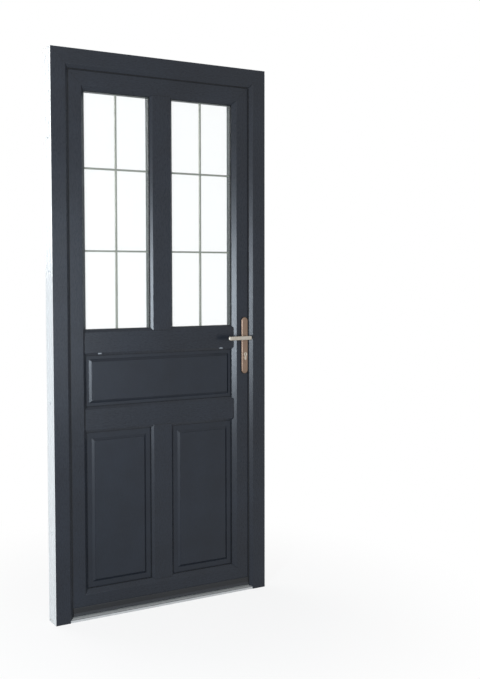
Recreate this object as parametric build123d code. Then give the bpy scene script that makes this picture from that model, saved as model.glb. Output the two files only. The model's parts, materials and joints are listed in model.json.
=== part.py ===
from build123d import *
from math import atan, degrees, sqrt
import os

# Entrance door of hollow PVC profiles in its frame. All sizes are in millimetres.
# X runs to the right seen from outside, Y runs inwards, Z runs up.
# The origin is on the floor, at the middle of the width and of the frame's depth.
# A depth is counted inwards from the outer face of the frame.

# Frame
FRAME_WIDTH = 960.0
FRAME_HEIGHT = 2185.0
FRAME_DEPTH = 70.0
FRAME_BASE = 47.0
FRAME_FACE = 59.3
FRAME_REACH = 72.5
FRAME_LIP = 12.5
FRAME_BEVEL = 10.5
PROFILE_WALL = 3.0
INNER_WALL = 2.5
EDGE_ROUND = 2.0
BACK_GROOVE_WIDTH = 4.0
BACK_GROOVE_DEPTH = 2.0
BACK_GROOVES = (14.0, 24.0, 46.0, 56.0)
STEEL_WALL = 1.5
STEEL_PLAY = 0.3
STEEL_END_GAP = 60.0
FIXING_RADIUS = 5.25
FIXING_CLEARANCE = 1.0
FIXING_LOWEST = 350.0
FIXING_SPACING = 500.0
FIXING_TOP_DROP = 250.0

# Leaf profile
LEAF_SETBACK = 16.0
LEAF_DEPTH = 70.0
LEAF_GAP = 12.0
LEAF_LIP_REACH = 20.0
LEAF_LIP = 12.5
LEAF_FACE = 71.0
LEAF_BEVEL = 17.0
LEAF_BEVEL_DEPTH = 14.0
NIB_TIP = 3.0
REBATE = 20.0
SEAL_THICK = 3.0
SEAL_WIDTH = 8.0
SEAL_PROUD = 1.5
FRAME_SEAL_PROUD = 4.0
FRAME_SEAL_ROOT = 10.0
LEAF_SEAL_EDGE = 3.0
LEAF_SEAL_WIDTH = 10.0
RUNNING_GAP = 0.3
POCKET_PLAY = 0.2

# Cross rails and mullions
RAIL_FACE = 80.0
RAIL_BEVEL = 10.0
RAIL_SETBACK = 8.0
RAIL_BEVEL_DEPTH = 7.0
UPPER_RAIL_HEIGHT = 1074.5
LOWER_RAIL_HEIGHT = 775.0

# Threshold and what closes on it
THRESHOLD_HEIGHT = 20.0
THRESHOLD_NOSE = 9.5
THRESHOLD_TREAD = 15.5
THRESHOLD_FRONT = 2.0
THRESHOLD_RIDGE = 30.0
THRESHOLD_BREAK = 44.0
THRESHOLD_CORE_DROP = 2.0
THRESHOLD_WALL = 2.0
END_BLOCK = 24.0
LEAF_BOTTOM_GAP = 5.0
WEATHER_BAR_HEIGHT = 26.0
WEATHER_BAR_THICK = 3.0
WEATHER_BAR_NOSE = 8.0
WEATHER_BAR_DROP = 3.5
BRUSH_WIDTH = 6.0

# Glazing and panels
PANE = 4.0
CAVITY = 16.0
UNIT_EDGE_PLAY = 5.0
SPACER_DEPTH = 13.0
BAR_WIDTH = 7.0
BAR_THICK = 8.0
BAR_LOW_ROW = 304.5
BAR_MIDDLE_ROW = 317.5
PANEL_RAISE = 8.0
PANEL_STEP = 1.5
PANEL_SLOPE = 10.0
PANEL_BORDER = 23.0
MIDDLE_PANEL_BORDER = 14.0
BEAD_FLAT = 5.0
BEAD_TOP = 8.0
DRAIN_CAP_WIDTH = 14.0
DRAIN_CAP_HEIGHT = 5.0
DRAIN_CAP_THICK = 2.5
DRAIN_CAP_INSET = 56.0

# Lock and handle
GROOVE_WIDTH = 16.0
FACEPLATE_THICK = 2.5
ROD_CHANNEL_WIDTH = 10.0
ROD_CHANNEL_DEPTH = 10.0
GROOVE_FROM_LIP = 13.0
FACEPLATE_END_GAP = 95.5
LEVER_HEIGHT = 1073.0
CYLINDER_DROP = 70.0
BACKSET = 35.0
LOCK_CASE_THICK = 15.0
LOCK_CASE_WALL = 1.5
LOCK_CASE_ABOVE = 57.0
LOCK_CASE_BELOW = 63.0
END_CASE_BACK = 40.0
END_CASE_HALF = 40.0
END_CASE_RISE = 305.0
END_CASE_TOP_DROP = 326.0
LATCH_RISE = 27.0
LATCH_HEIGHT = 20.0
LATCH_TAIL = 22.0
LATCH_PROUD = 8.5
LATCH_NOSE = 2.5
BOLT_RISE = 32.0
BOLT_HEIGHT = 20.0
BOLT_THICK = 10.0
BOLT_LENGTH = 32.0
BOLT_THROW = 20.0
BOLT_EDGE = 1.0
END_BOLT_HEIGHT = 16.0
ROD_WIDTH = 9.4
ROD_THICK = 6.5
ROD_TRAVEL = 8.0
ROD_END_GAP = 2.0
SPINDLE = 8.0
SPINDLE_PLAY = 0.1
FOLLOWER_RADIUS = 12.0
FOLLOWER_HUB = 8.5
FOLLOWER_FLATS = 16
CYLINDER_RADIUS = 8.5
CYLINDER_TAIL = 10.0
CYLINDER_TAIL_DROP = 24.5
CYLINDER_PROUD = 3.0
PLUG_RADIUS = 6.5
PLUG_PLAY = 0.05
CAM_RADIUS = 15.0
CAM_CLEARANCE = 0.5
CAM_WIDTH = 9.4
CAM_NOSE = 8.0
KEYWAY_WIDTH = 2.2
KEYWAY_HEIGHT = 8.6
KEYWAY_DEPTH = 28.0
PLATE_WIDTH = 32.0
PLATE_ABOVE = 86.0
PLATE_BELOW = 152.0
PLATE_THICK = 8.0
PLATE_BEVEL = 2.0
PLATE_SCREW_RISES = (36.0, -118.0)
LEVER_NECK = 9.3
LEVER_STAND = 28.0
LEVER_LENGTH = 102.0
LEVER_TAIL = 10.0
LEVER_BAR_HEIGHT = 18.0
LEVER_BAR_THICK = 10.0
LEVER_ROUND = 3.5
LEVER_PLAY = 0.3
KEEP_THICK = 2.5
KEEP_CORNER = 3.0
KEEP_MIDDLE_HALF = 100.0
KEEP_END_HALF = 45.0
KEEP_POCKET_PLAY = 1.5

# Hinges
HINGE_RISE = 207.0
HINGE_MIDDLE_HEIGHT = 1075.0
HINGE_TOP_DROP = 157.0
HINGE_AXIS_OUT = 32.0
HINGE_AXIS_PROUD = 2.0
HINGE_RADIUS = 8.0
HINGE_PIN = 4.5
HINGE_FRAME_KNUCKLE = 29.0
HINGE_LEAF_KNUCKLE = 43.0
HINGE_KNUCKLE_GAP = 0.5
HINGE_PLATE = 3.0
HINGE_WING = 4.0
HINGE_WING_REACH = 36.0
HINGE_PLATE_TAIL = 31.0
HINGE_PLATE_EDGE = 3.0
HINGE_PLATE_INNER = 5.0

# Screws
SCREW_SIDES = 6
SCREW_HEAD = 4.0
SCREW_SHANK = 2.0
SCREW_LENGTH = 14.0
KEEP_SCREW_LENGTH = 13.0
KEEP_SCREW_INSET = 10.0
FACEPLATE_SCREW_LENGTH = 18.0
FACEPLATE_SCREW_INSET = 20.0
THRESHOLD_SCREW_LENGTH = 65.0
HINGE_SCREW_INSET = 9.0
CYLINDER_SCREW = 2.5
CYLINDER_SCREW_HEAD = 4.0
PLATE_SCREW_RADIUS = 2.5
PLATE_SCREW_HEAD = 4.5
SCREW_HEAD_THICK = 2.0

# Places worked out from the sizes above
HALF_WIDTH = FRAME_WIDTH / 2
REBATE_X = HALF_WIDTH - FRAME_BASE
LEAF_X = REBATE_X - LEAF_GAP
LEAF_TOP = FRAME_HEIGHT - FRAME_BASE - LEAF_GAP
LEAF_BOTTOM = THRESHOLD_HEIGHT + LEAF_BOTTOM_GAP
LEAF_BACK = LEAF_SETBACK + LEAF_DEPTH
LEAF_LIP_FRONT = LEAF_BACK - LEAF_LIP
SIGHT = LEAF_FACE + LEAF_BEVEL
FLOOR = SIGHT - REBATE
NIB_BACK = LEAF_SETBACK + LEAF_BEVEL_DEPTH + NIB_TIP
UNIT_FRONT = NIB_BACK + SEAL_THICK
UNIT_BACK = UNIT_FRONT + PANE + CAVITY + PANE
BEAD_FRONT = UNIT_BACK + SEAL_THICK
RAIL_FRONT = LEAF_SETBACK + RAIL_SETBACK
RAIL_SIGHT = RAIL_FACE / 2 + RAIL_BEVEL
RAIL_FLOOR = RAIL_SIGHT - REBATE
GROOVE_DEPTH_MID = LEAF_LIP_FRONT - GROOVE_FROM_LIP
HANDLE_X = LEAF_X - BACKSET
LOCK_CASE_BACK = BACKSET + CAM_RADIUS + CAM_CLEARANCE + LOCK_CASE_WALL
CYLINDER_HEIGHT = LEVER_HEIGHT - CYLINDER_DROP
LATCH_HEIGHT_MID = LEVER_HEIGHT + LATCH_RISE
BOLT_HEIGHT_MID = CYLINDER_HEIGHT + BOLT_RISE
FACEPLATE_BOTTOM = LEAF_BOTTOM + FACEPLATE_END_GAP
FACEPLATE_TOP = LEAF_TOP - FACEPLATE_END_GAP
END_CASE_HEIGHTS = (LEAF_BOTTOM + END_CASE_RISE, LEAF_TOP - END_CASE_TOP_DROP)
HINGE_HEIGHTS = (LEAF_BOTTOM + HINGE_RISE, HINGE_MIDDLE_HEIGHT, LEAF_TOP - HINGE_TOP_DROP)
HINGE_AXIS_X = LEAF_X + HINGE_AXIS_OUT
HINGE_AXIS_DEPTH = LEAF_BACK + HINGE_AXIS_PROUD

FRAME_BOX = (-HALF_WIDTH, HALF_WIDTH, 0.0, FRAME_HEIGHT)
LEAF_BOX = (-LEAF_X, LEAF_X, LEAF_BOTTOM, LEAF_TOP)
SIGHT_LEFT = -LEAF_X + SIGHT
SIGHT_RIGHT = LEAF_X - SIGHT
SIGHT_TOP = LEAF_TOP - SIGHT
SIGHT_BOTTOM = LEAF_BOTTOM + SIGHT
UPPER_RAIL_TOP = UPPER_RAIL_HEIGHT + RAIL_SIGHT
UPPER_RAIL_UNDER = UPPER_RAIL_HEIGHT - RAIL_SIGHT
LOWER_RAIL_TOP = LOWER_RAIL_HEIGHT + RAIL_SIGHT
LOWER_RAIL_UNDER = LOWER_RAIL_HEIGHT - RAIL_SIGHT

# Sight openings as left, right, bottom, top
LIGHT_LEFT = (SIGHT_LEFT, -RAIL_SIGHT, UPPER_RAIL_TOP, SIGHT_TOP)
LIGHT_RIGHT = (RAIL_SIGHT, SIGHT_RIGHT, UPPER_RAIL_TOP, SIGHT_TOP)
OPENING_MIDDLE = (SIGHT_LEFT, SIGHT_RIGHT, LOWER_RAIL_TOP, UPPER_RAIL_UNDER)
OPENING_LOW_LEFT = (SIGHT_LEFT, -RAIL_SIGHT, SIGHT_BOTTOM, LOWER_RAIL_UNDER)
OPENING_LOW_RIGHT = (RAIL_SIGHT, SIGHT_RIGHT, SIGHT_BOTTOM, LOWER_RAIL_UNDER)


# General shapes

def block(left, right, front, back, bottom, top):
    """A rectangular block between two X, two depths and two heights."""
    middle = ((left + right) / 2, (front + back - FRAME_DEPTH) / 2, (bottom + top) / 2)
    return Pos(*middle) * Box(right - left, back - front, top - bottom)


def rod_inwards(x, height, radius, front, back):
    """A round rod along the depth."""
    middle = (x, (front + back - FRAME_DEPTH) / 2, height)
    return Pos(*middle) * Rot(90, 0, 0) * Cylinder(radius, back - front)


def rod_across(left, right, depth, height, radius):
    """A round rod along X."""
    middle = ((left + right) / 2, depth - FRAME_DEPTH / 2, height)
    return Pos(*middle) * Rot(0, 90, 0) * Cylinder(radius, right - left)


def rod_upright(x, depth, bottom, top, radius):
    """A round rod along Z."""
    return Pos(x, depth - FRAME_DEPTH / 2, (bottom + top) / 2) * Cylinder(radius, top - bottom)


def plate_shape(sketch, x, height, front, back):
    """A flat outline in the plane of the leaf, from one depth to another."""
    outline = Plane((x, back - FRAME_DEPTH / 2, height), (1, 0, 0), (0, -1, 0)) * sketch
    return extrude(outline, amount=back - front)


def polygon(points):
    return make_face(Polyline(*points, close=True))


def chamber(near, far, front, back):
    return polygon([(near, front), (far, front), (far, back), (near, back)])


def grow(box, by):
    """A rectangle moved outwards by a distance on each side."""
    left, right, bottom, top = box
    return (left - by, right + by, bottom - by, top + by)


def ring(box, near, far, front, back):
    """A closed rectangular frame; near and far are counted inwards from the box."""
    outer = grow(box, -near)
    inner = grow(box, -far)
    solid = block(outer[0], outer[1], front, back, outer[2], outer[3])
    return solid - block(inner[0], inner[1], front - 1, back + 1, inner[2], inner[3])


def member(face, side, box, start_mitre=True, end_mitre=True):
    """One side of a rectangle as a straight profile with mitred or square ends.

    The face has the distance inwards from the box as its x and the depth as its y. Left runs
    up, top runs right, right runs down and bottom runs left.
    """
    left, right, bottom, top = box
    across = right - left
    upright = top - bottom
    outer = -FRAME_DEPTH / 2
    origin, inwards, along, length = {
        "left": ((left, outer, bottom), (1, 0, 0), (0, 0, 1), upright),
        "top": ((left, outer, top), (0, 0, -1), (1, 0, 0), across),
        "right": ((right, outer, top), (-1, 0, 0), (0, 0, -1), upright),
        "bottom": ((right, outer, bottom), (0, 0, 1), (-1, 0, 0), across),
    }[side]
    spare = 150.0
    start = -spare if start_mitre else 0.0
    end = length + spare if end_mitre else length
    solid = Pos(0, 0, start) * extrude(face, amount=end - start)
    if start_mitre:
        solid = split(solid, bisect_by=Plane((0, 0, 0), z_dir=(-1, 0, 1)), keep=Keep.TOP)
    if end_mitre:
        solid = split(solid, bisect_by=Plane((0, 0, length), z_dir=(-1, 0, -1)), keep=Keep.TOP)
    return Plane(origin, inwards, along).location * solid


def rail(face, left, right, height):
    """A horizontal profile whose face is centred on a height."""
    plane = Plane((right, -FRAME_DEPTH / 2, height), (0, 0, 1), (-1, 0, 0))
    return plane.location * extrude(face, amount=right - left)


def mullion(face, x, bottom, top):
    """An upright profile whose face is centred on an X."""
    plane = Plane((x, -FRAME_DEPTH / 2, bottom), (1, 0, 0), (0, 0, 1))
    return plane.location * extrude(face, amount=top - bottom)


def tube_face(near, far, front, back):
    """Section of a rectangular steel tube that fits a chamber."""
    play = STEEL_PLAY
    outer = chamber(near + play, far - play, front + play, back - play)
    wall = play + STEEL_WALL
    return outer - chamber(near + wall, far - wall, front + wall, back - wall)


def countersunk(at, towards, length=SCREW_LENGTH):
    """A countersunk screw, six-sided, whose flat head is at a point and which runs towards a direction."""
    head = extrude(RegularPolygon(SCREW_HEAD, SCREW_SIDES), amount=SCREW_SHANK, taper=45)
    shank = extrude(RegularPolygon(SCREW_SHANK, SCREW_SIDES), amount=length)
    x, depth, height = at
    place = Plane((x, depth - FRAME_DEPTH / 2, height), z_dir=towards)
    return place.location * (head + shank)


def pin_inwards(x, height, radius, front, back):
    """A six-sided pin along the depth."""
    return plate_shape(RegularPolygon(radius, SCREW_SIDES), x, height, front, back)


def pin_across(left, right, depth, height, radius):
    """A six-sided pin along X."""
    plane = Plane((left, depth - FRAME_DEPTH / 2, height), z_dir=(1, 0, 0))
    return extrude(plane * RegularPolygon(radius, SCREW_SIDES), amount=right - left)


# Sections

def frame_face(hollow=True):
    """The frame's L section: base, and an outer lip that covers the edge of the leaf."""
    outline = polygon([
        (0, 0),
        (FRAME_FACE, 0),
        (FRAME_REACH, FRAME_BEVEL),
        (FRAME_REACH, FRAME_LIP),
        (FRAME_BASE, FRAME_LIP),
        (FRAME_BASE, FRAME_DEPTH),
        (0, FRAME_DEPTH),
    ])
    bend = outline.vertices().filter_by_position(Axis.X, FRAME_FACE - 1, FRAME_FACE + 1)
    outline = fillet(bend, EDGE_ROUND)
    if not hollow:
        return outline
    for depth in BACK_GROOVES:
        half = BACK_GROOVE_WIDTH / 2
        outline -= chamber(-1, BACK_GROOVE_DEPTH, depth - half, depth + half)
    for hole in frame_chambers():
        outline -= chamber(*hole)
    return outline


FRAME_STEEL = (
    13.0,
    FRAME_BASE - 10.0,
    18.0,
    FRAME_DEPTH - 18.0,
)


def frame_chambers():
    near, far, front, back = FRAME_STEEL
    inner = FRAME_BASE - INNER_WALL
    return [
        FRAME_STEEL,
        (BACK_GROOVE_DEPTH + INNER_WALL, near - INNER_WALL, PROFILE_WALL, FRAME_DEPTH - PROFILE_WALL),
        (near, inner, PROFILE_WALL, front - INNER_WALL),
        (near, inner, back + INNER_WALL, FRAME_DEPTH - PROFILE_WALL),
        (far + INNER_WALL, inner, front, back),
        (FRAME_BASE, FRAME_FACE, PROFILE_WALL, FRAME_LIP - PROFILE_WALL),
    ]


LEAF_STEEL = (6.0, 50.0, LEAF_SETBACK + 5.0, GROOVE_DEPTH_MID - GROOVE_WIDTH / 2 - 4.5)
LOCK_CHAMBER = (
    ROD_CHANNEL_DEPTH + INNER_WALL,
    LOCK_CASE_BACK + 2.0,
    LEAF_STEEL[3] + INNER_WALL,
    GROOVE_DEPTH_MID + GROOVE_WIDTH / 2 + 2.5,
)


def leaf_face(hollow=True):
    """The leaf's Z section: outer face, glazing nib, glazing rebate and inner lip."""
    outline = polygon([
        (0, LEAF_SETBACK),
        (LEAF_FACE, LEAF_SETBACK),
        (SIGHT, LEAF_SETBACK + LEAF_BEVEL_DEPTH),
        (SIGHT, NIB_BACK),
        (FLOOR, NIB_BACK),
        (FLOOR, LEAF_BACK),
        (-LEAF_LIP_REACH, LEAF_BACK),
        (-LEAF_LIP_REACH, LEAF_LIP_FRONT),
        (0, LEAF_LIP_FRONT),
    ])
    bend = outline.vertices().filter_by_position(Axis.X, LEAF_FACE - 1, LEAF_FACE + 1)
    outline = fillet(bend, EDGE_ROUND)
    if not hollow:
        return outline
    wide = GROOVE_WIDTH / 2
    narrow = ROD_CHANNEL_WIDTH / 2
    outline -= chamber(-1, FACEPLATE_THICK, GROOVE_DEPTH_MID - wide, GROOVE_DEPTH_MID + wide)
    outline -= chamber(0, ROD_CHANNEL_DEPTH, GROOVE_DEPTH_MID - narrow, GROOVE_DEPTH_MID + narrow)
    side = LOCK_CHAMBER[1] + INNER_WALL
    middle = LEAF_STEEL[3] + INNER_WALL / 2
    outline -= chamber(*LEAF_STEEL)
    outline -= chamber(*LOCK_CHAMBER)
    outline -= chamber(
        PROFILE_WALL - LEAF_LIP_REACH,
        LOCK_CHAMBER[1],
        LEAF_LIP_FRONT + INNER_WALL,
        LEAF_BACK - PROFILE_WALL,
    )
    outline -= chamber(
        side,
        FLOOR - INNER_WALL,
        LEAF_SETBACK + PROFILE_WALL,
        middle - INNER_WALL / 2,
    )
    outline -= chamber(
        side,
        FLOOR - INNER_WALL,
        middle + INNER_WALL / 2,
        LEAF_BACK - PROFILE_WALL,
    )
    nib_front = LEAF_SETBACK + PROFILE_WALL + 1.0
    outline -= polygon([
        (FLOOR, nib_front),
        (LEAF_FACE, nib_front),
        (SIGHT - 2 * PROFILE_WALL, NIB_BACK - PROFILE_WALL),
        (FLOOR, NIB_BACK - PROFILE_WALL),
    ])
    return outline


RAIL_STEEL = (-20.0, 20.0, NIB_BACK + 7.0, LEAF_BACK - 14.0)


def rail_face(hollow=True):
    """The T section of the cross rails and mullions, a nib on each side."""
    half = RAIL_FACE / 2
    slope = RAIL_FRONT + RAIL_BEVEL_DEPTH
    outline = polygon([
        (-half, RAIL_FRONT),
        (half, RAIL_FRONT),
        (RAIL_SIGHT, slope),
        (RAIL_SIGHT, NIB_BACK),
        (RAIL_FLOOR, NIB_BACK),
        (RAIL_FLOOR, LEAF_BACK),
        (-RAIL_FLOOR, LEAF_BACK),
        (-RAIL_FLOOR, NIB_BACK),
        (-RAIL_SIGHT, NIB_BACK),
        (-RAIL_SIGHT, slope),
    ])
    bend = outline.vertices().filter_by_position(Axis.Y, RAIL_FRONT - 1, RAIL_FRONT + 1)
    outline = fillet(bend, EDGE_ROUND)
    if not hollow:
        return outline
    inner = RAIL_FLOOR - PROFILE_WALL
    outline -= chamber(*RAIL_STEEL)
    outline -= chamber(-inner, inner, RAIL_FRONT + PROFILE_WALL, RAIL_STEEL[2] - INNER_WALL)
    outline -= chamber(-inner, inner, RAIL_STEEL[3] + INNER_WALL, LEAF_BACK - PROFILE_WALL)
    for sign in (-1, 1):
        outline -= chamber(
            min(sign * inner, sign * (RAIL_STEEL[1] + INNER_WALL)),
            max(sign * inner, sign * (RAIL_STEEL[1] + INNER_WALL)),
            RAIL_STEEL[2],
            RAIL_STEEL[3],
        )
    return outline


def bead_face():
    """A glazing bead: it stands on the rebate floor and slopes back from the sight line."""
    return polygon([
        (0, BEAD_FRONT),
        (REBATE, BEAD_FRONT),
        (REBATE, BEAD_FRONT + BEAD_FLAT),
        (BEAD_TOP, LEAF_BACK),
        (0, LEAF_BACK),
    ])


def cylinder_outline(play=0.0):
    """The pear-shaped outline of a profile cylinder, hung from the middle of its plug."""
    tail = CYLINDER_TAIL / 2 + play
    end = CYLINDER_TAIL_DROP - CYLINDER_TAIL / 2
    outline = Circle(CYLINDER_RADIUS + play)
    outline += Pos(0, -end / 2) * Rectangle(2 * tail, end)
    outline += Pos(0, -end) * Circle(tail)
    return outline


# Where the screws are. Each entry is a point as X, depth and height.

def keep_screw_points():
    depth = GROOVE_DEPTH_MID
    face = REBATE_X - KEEP_THICK
    points = []
    half = KEEP_MIDDLE_HALF - KEEP_SCREW_INSET
    for offset in (-half, half):
        points.append((face, depth, keep_middle_height() + offset))
    half = KEEP_END_HALF - KEEP_SCREW_INSET
    for height in END_CASE_HEIGHTS:
        for offset in (-half, half):
            points.append((face, depth, height + offset))
    return points


def hinge_frame_screw_points():
    points = []
    x = -(HINGE_AXIS_X + HALF_WIDTH - HINGE_PLATE_EDGE + HINGE_RADIUS) / 2
    low = HINGE_SCREW_INSET - HINGE_PLATE_TAIL
    high = HINGE_FRAME_KNUCKLE - HINGE_SCREW_INSET
    for height in HINGE_HEIGHTS:
        for offset in (low, (low + high) / 2, high):
            points.append((x, FRAME_DEPTH + HINGE_PLATE, height + offset))
    return points


def hinge_leaf_screw_points():
    points = []
    bottom = HINGE_FRAME_KNUCKLE + HINGE_KNUCKLE_GAP
    outer = -LEAF_X - LEAF_LIP_REACH + HINGE_SCREW_INSET
    inner = outer + HINGE_WING_REACH - 2 * HINGE_SCREW_INSET
    low = bottom + HINGE_SCREW_INSET
    high = bottom + HINGE_LEAF_KNUCKLE - HINGE_SCREW_INSET
    for height in HINGE_HEIGHTS:
        for x in (outer, inner):
            for offset in (low, high):
                points.append((x, LEAF_BACK + HINGE_WING, height + offset))
    return points


def faceplate_screw_points():
    inset = FACEPLATE_SCREW_INSET
    low = min(END_CASE_HEIGHTS) - END_CASE_HALF
    high = max(END_CASE_HEIGHTS) + END_CASE_HALF
    heights = [
        FACEPLATE_BOTTOM + inset,
        low - inset,
        CYLINDER_HEIGHT - LOCK_CASE_BELOW + SCREW_HEAD + LOCK_CASE_WALL,
        LEVER_HEIGHT + LOCK_CASE_ABOVE - SCREW_HEAD - LOCK_CASE_WALL,
        high + inset,
        FACEPLATE_TOP - inset,
    ]
    return [(LEAF_X, GROOVE_DEPTH_MID, height) for height in heights]


def threshold_screw_points():
    points = []
    for sign in (-1, 1):
        for depth in (THRESHOLD_RIDGE + 7, THRESHOLD_BREAK + 14):
            points.append((sign * HALF_WIDTH, depth, THRESHOLD_HEIGHT / 2 - 1))
    return points


def keep_middle_height():
    return (LATCH_HEIGHT_MID + BOLT_HEIGHT_MID) / 2


def frame_screws():
    solids = [countersunk(point, (1, 0, 0), KEEP_SCREW_LENGTH) for point in keep_screw_points()]
    solids += [countersunk(point, (0, -1, 0)) for point in hinge_frame_screw_points()]
    for point in threshold_screw_points():
        inwards = -1 if point[0] > 0 else 1
        solids.append(countersunk(point, (inwards, 0, 0), THRESHOLD_SCREW_LENGTH))
    return solids


def leaf_screws():
    solids = [countersunk(point, (0, -1, 0)) for point in hinge_leaf_screw_points()]
    solids += [countersunk(point, (-1, 0, 0), FACEPLATE_SCREW_LENGTH) for point in faceplate_screw_points()]
    return solids


def plate_screws():
    """Two long screws that draw the handle plates together through the stile."""
    solids = []
    front = LEAF_SETBACK - PLATE_THICK + 3
    back = LEAF_BACK + PLATE_THICK
    for rise in PLATE_SCREW_RISES:
        shank = pin_inwards(HANDLE_X, LEVER_HEIGHT + rise, PLATE_SCREW_RADIUS, front, back)
        head = pin_inwards(HANDLE_X, LEVER_HEIGHT + rise, PLATE_SCREW_HEAD, back - SCREW_HEAD_THICK, back)
        solids.append(shank + head)
    return solids


def cylinder_screw():
    """The screw that holds the profile cylinder from the faceplate."""
    height = CYLINDER_HEIGHT - CYLINDER_TAIL_DROP + CYLINDER_TAIL / 2
    start = HANDLE_X - CYLINDER_TAIL / 2
    shank = pin_across(start, LEAF_X, GROOVE_DEPTH_MID, height, CYLINDER_SCREW)
    head = pin_across(LEAF_X - SCREW_HEAD_THICK, LEAF_X, GROOVE_DEPTH_MID, height, CYLINDER_SCREW_HEAD)
    return shank + head


def cut_all(solid, cutters):
    for cutter in cutters:
        solid -= cutter
    return solid


# Frame pieces

def bolt_pockets():
    """Room in the lock side of the frame for the latch and the bolts."""
    reach = LEAF_X + BOLT_THROW + KEEP_POCKET_PLAY
    play = KEEP_POCKET_PLAY
    middle = GROOVE_DEPTH_MID
    half = BOLT_THICK / 2 + play
    face = REBATE_X - KEEP_THICK - 1
    pockets = []
    for height, tall in bolt_heights():
        pockets.append(block(
            face, reach, middle - half, middle + half, height - tall / 2 - play, height + tall / 2 + play
        ))
    return pockets


def bolt_heights():
    heights = [(BOLT_HEIGHT_MID, BOLT_HEIGHT), (LATCH_HEIGHT_MID, LATCH_HEIGHT)]
    heights += [(height, END_BOLT_HEIGHT) for height in END_CASE_HEIGHTS]
    return heights


def fixing_heights():
    """Heights of the wall screws, evenly spaced up the jamb."""
    heights = []
    height = FIXING_LOWEST
    while height < FRAME_HEIGHT - FIXING_TOP_DROP:
        heights.append(height)
        height += FIXING_SPACING
    return heights


def fixing_holes(side):
    """Holes through one jamb for the wall screws: round in its faces, wider inside."""
    near, far = FRAME_STEEL[:2]
    spans = (
        (rod_across, -1, near - INNER_WALL, FIXING_RADIUS),
        (pin_across, near - INNER_WALL, far + INNER_WALL, FIXING_RADIUS + FIXING_CLEARANCE),
        (rod_across, far + INNER_WALL, FRAME_BASE + 1, FIXING_RADIUS),
    )
    holes = []
    for height in fixing_heights():
        for shape, start, end, radius in spans:
            left, right = sorted((side * (HALF_WIDTH - start), side * (HALF_WIDTH - end)))
            holes.append(shape(left, right, FRAME_DEPTH / 2, height, radius))
    return holes


def frame_pieces(screws):
    face = frame_face()
    pieces = {}
    pieces["frame_head"] = member(face, "top", FRAME_BOX)
    left = member(face, "left", FRAME_BOX, start_mitre=False)
    right = member(face, "right", FRAME_BOX, end_mitre=False)
    pieces["frame_jamb_hinge_side"] = cut_all(left, fixing_holes(-1) + screws)
    pieces["frame_jamb_lock_side"] = cut_all(right, fixing_holes(1) + bolt_pockets() + screws)
    tube = tube_face(*FRAME_STEEL)
    gap = STEEL_END_GAP
    steel_box = (-HALF_WIDTH, HALF_WIDTH, gap, FRAME_HEIGHT - gap)
    head_box = (-HALF_WIDTH + gap, HALF_WIDTH - gap, 0, FRAME_HEIGHT)
    uprights = member(tube, "left", steel_box, False, False) + member(tube, "right", steel_box, False, False)
    uprights = cut_all(uprights, fixing_holes(-1) + fixing_holes(1) + screws)
    pieces["frame_steel"] = uprights + member(tube, "top", head_box, False, False)
    return pieces


def frame_seal():
    """Rubber seal behind the frame's lip; its rounded edge shows round the leaf."""
    back = LEAF_SETBACK - RUNNING_GAP
    root = FRAME_REACH - FRAME_SEAL_ROOT
    edge = FRAME_REACH + FRAME_SEAL_PROUD
    face = polygon([
        (root, FRAME_LIP),
        (FRAME_REACH, FRAME_LIP),
        (FRAME_REACH + 1, FRAME_LIP - 1.5),
        (edge - 1, FRAME_LIP - 0.5),
        (edge, back),
        (root, back),
    ])
    box = (-HALF_WIDTH, HALF_WIDTH, THRESHOLD_HEIGHT, FRAME_HEIGHT)
    seal = member(face, "left", box, start_mitre=False)
    seal += member(face, "top", box)
    return seal + member(face, "right", box, end_mitre=False)


def threshold_pieces(screws):
    """Aluminium tread and nose, a plastic core behind it that stops the cold, and end blocks."""
    front = THRESHOLD_FRONT
    ridge = THRESHOLD_RIDGE
    back = THRESHOLD_BREAK
    wall = THRESHOLD_WALL
    tread = polygon([
        (front, 0),
        (back, 0),
        (back, THRESHOLD_HEIGHT),
        (ridge + 2, THRESHOLD_HEIGHT),
        (ridge - 2, THRESHOLD_TREAD),
        (front + 2, THRESHOLD_NOSE + 2),
        (front, THRESHOLD_NOSE),
    ])
    tread -= polygon([
        (front + wall, wall),
        (ridge - wall, wall),
        (ridge - wall, THRESHOLD_TREAD - wall),
        (front + wall, THRESHOLD_NOSE - 0.5),
    ])
    tread -= chamber(ridge, back - wall, wall, THRESHOLD_TREAD - 1)
    core_top = THRESHOLD_HEIGHT - THRESHOLD_CORE_DROP
    core = chamber(back, FRAME_DEPTH, 0, core_top)
    core -= chamber(back + wall + 1, FRAME_DEPTH - wall - 1, wall, core_top - wall)
    plane = Plane((-REBATE_X, -FRAME_DEPTH / 2, 0), (0, 1, 0), (1, 0, 0))
    jambs = [
        member(frame_face(hollow=False), side, FRAME_BOX, False, False) for side in ("left", "right")
    ]
    length = 2 * REBATE_X
    tread_solid = cut_all(plane.location * extrude(tread, amount=length), jambs + screws)
    core_solid = cut_all(plane.location * extrude(core, amount=length), screws)
    play = STEEL_PLAY
    blocks = []
    for sign in (-1, 1):
        left, right = sorted((sign * REBATE_X, sign * (REBATE_X - END_BLOCK)))
        plug = block(left, right, ridge + play, back - wall - play, wall + play, THRESHOLD_TREAD - 1 - play)
        plug += block(
            left, right, back + wall + 1 + play, FRAME_DEPTH - wall - 1 - play, wall + play, core_top - wall - play
        )
        blocks.append(cut_all(plug, screws))
    return {
        "threshold": tread_solid,
        "threshold_core": core_solid,
        "threshold_end_blocks": blocks[0] + blocks[1],
    }


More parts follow.
